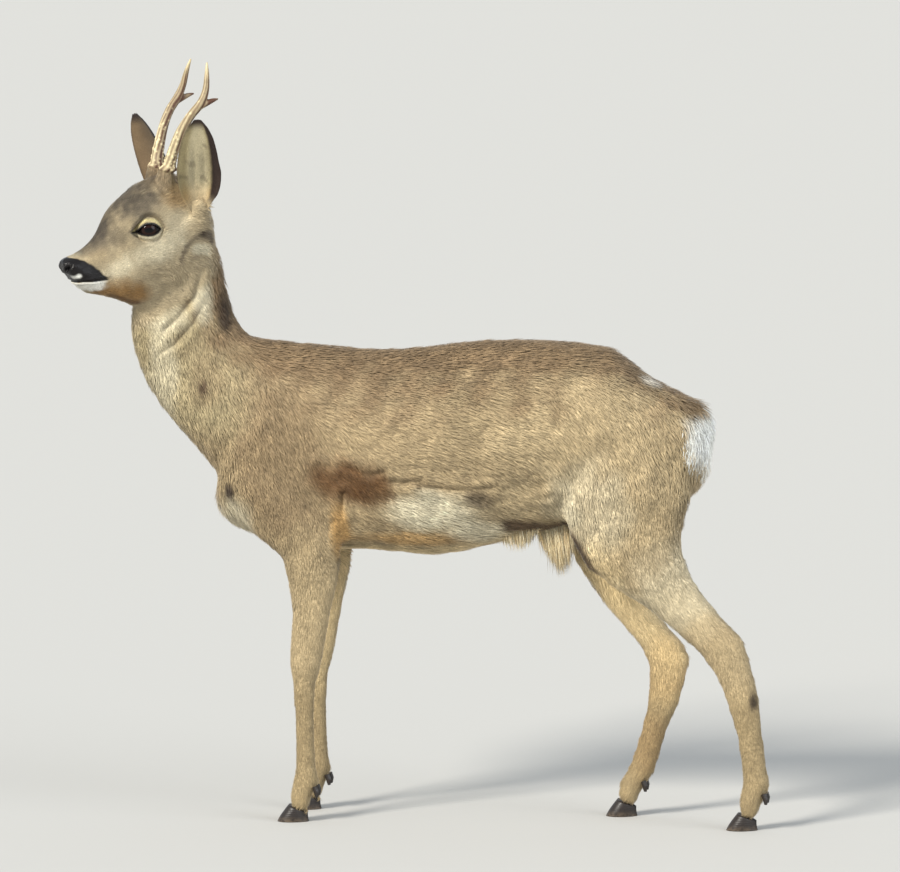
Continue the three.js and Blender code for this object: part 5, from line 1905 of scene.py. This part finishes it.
# Whiskers: root on the face (along, out, up) in mm, way (along, out, up), and length in mm.
WHISKERS = (
    ((176, 22, 14), (-0.4, 1.0, -0.5), 30),
    ((172, 24, 12), (-0.6, 1.0, -0.5), 34),
    ((168, 25, 15), (-0.7, 1.0, -0.3), 36),
    ((164, 26, 11), (-0.8, 1.0, -0.5), 30),
    ((160, 27, 14), (-0.9, 1.0, -0.2), 28),
    ((170, 20, -4), (-0.4, 0.8, -1.0), 24),
    ((163, 21, -8), (-0.6, 0.8, -1.0), 26),
    ((156, 21, -12), (-0.7, 0.6, -1.0), 24),
)
LASHES, LASH_RANGE = 46, (-0.92, 0.75)  # on each upper lid, and where along its half length they stand


WHISKER_WIDTH, LASH_WIDTH = 0.45 * MM, 0.4 * MM


def whisker_rows(side, draw):
    """Root, way, length and width of each whisker on one side of the face."""
    mirror = np.array([1, SIDES[side], 1])
    for root, way, length in WHISKERS:
        root = placed_by(np.array(root) * MM * mirror * (1, 0.97, 1), FACE)
        yield root, unit(np.array(way) * mirror + draw.normal(0, 0.08, 3)) @ FACE, length * MM, WHISKER_WIDTH


def lash_rows(side, draw):
    """Root, way, length and width of each lash along one upper lid."""
    centre, axes = eye_frame(side)
    for u in np.linspace(*LASH_RANGE, LASHES):
        along = u * EYE_OPENING["long"]
        up = EYE_OPENING["upper"] * (1 - u * u) - EYE_DROOP * max(u - 0.2, 0) + 0.6 * MM
        depth = math.sqrt(EYE_RADIUS**2 - along**2 - up**2) + 1.2 * MM
        way = np.array([0.35 * u + draw.normal(0, 0.08), 0.15 + 0.3 * draw.random(), 0.9])
        root = placed_by((along, up, depth), axes, centre)
        yield root, unit(way) @ axes, draw.uniform(5, 8.5) * MM, LASH_WIDTH


def add_whiskers(material):
    """Fine dark whiskers on muzzle and chin, and the upper lids' lashes."""
    draw = np.random.default_rng(73)
    rows = []
    for side in SIDES:
        rows += [*whisker_rows(side, draw), *lash_rows(side, draw)]
    roots, ways, lengths, widths = (np.array(column) for column in zip(*rows, strict=True))
    normals = unit(np.cross(ways, np.cross(UPWARD, ways)))
    blade_points, faces = blades(roots, normals, ways, lengths, widths, np.full(len(roots), 0.05), bends=2)
    colours = np.tile(COLOUR["black"], (len(roots), 1))
    uv = bake_places(roots, FACE[0], FACE[2])
    tufts = Tufts(blade_points, faces, uv, normals, colours, np.ones(len(roots)))
    add_tufts("whiskers", tufts, material, "long_hair")


# ------------------------------------------------------------------ assembly


def add_skin():
    points, triangles = skin_arrays()
    nodes = [name for name in FLESH if not name.startswith("eye")] + [f"ear_{side}" for side in SIDES]
    nodes += [f"{leg}_leg" for leg in LEGS]
    piece = new_piece("skin", points, triangles, skin_material(), "winter_coat", nodes)
    normals = point_normals(points, triangles)
    paint(piece.data, markings(points, normals))
    moisten(piece.data, nose_share(points))
    return points, triangles, normals


add_camera()
add_light()
add_floor()
skin = add_skin()
add_coat(skin, hair_material("guard_hair"))
add_rump_hair(skin, hair_material("white_rump_hair"))
add_brush(hair_material("brush_hair"))
add_whiskers(hair_material("whisker_hair"))
add_eyes(eye_material())
add_antlers(antler_material())
add_claws(horn_material())
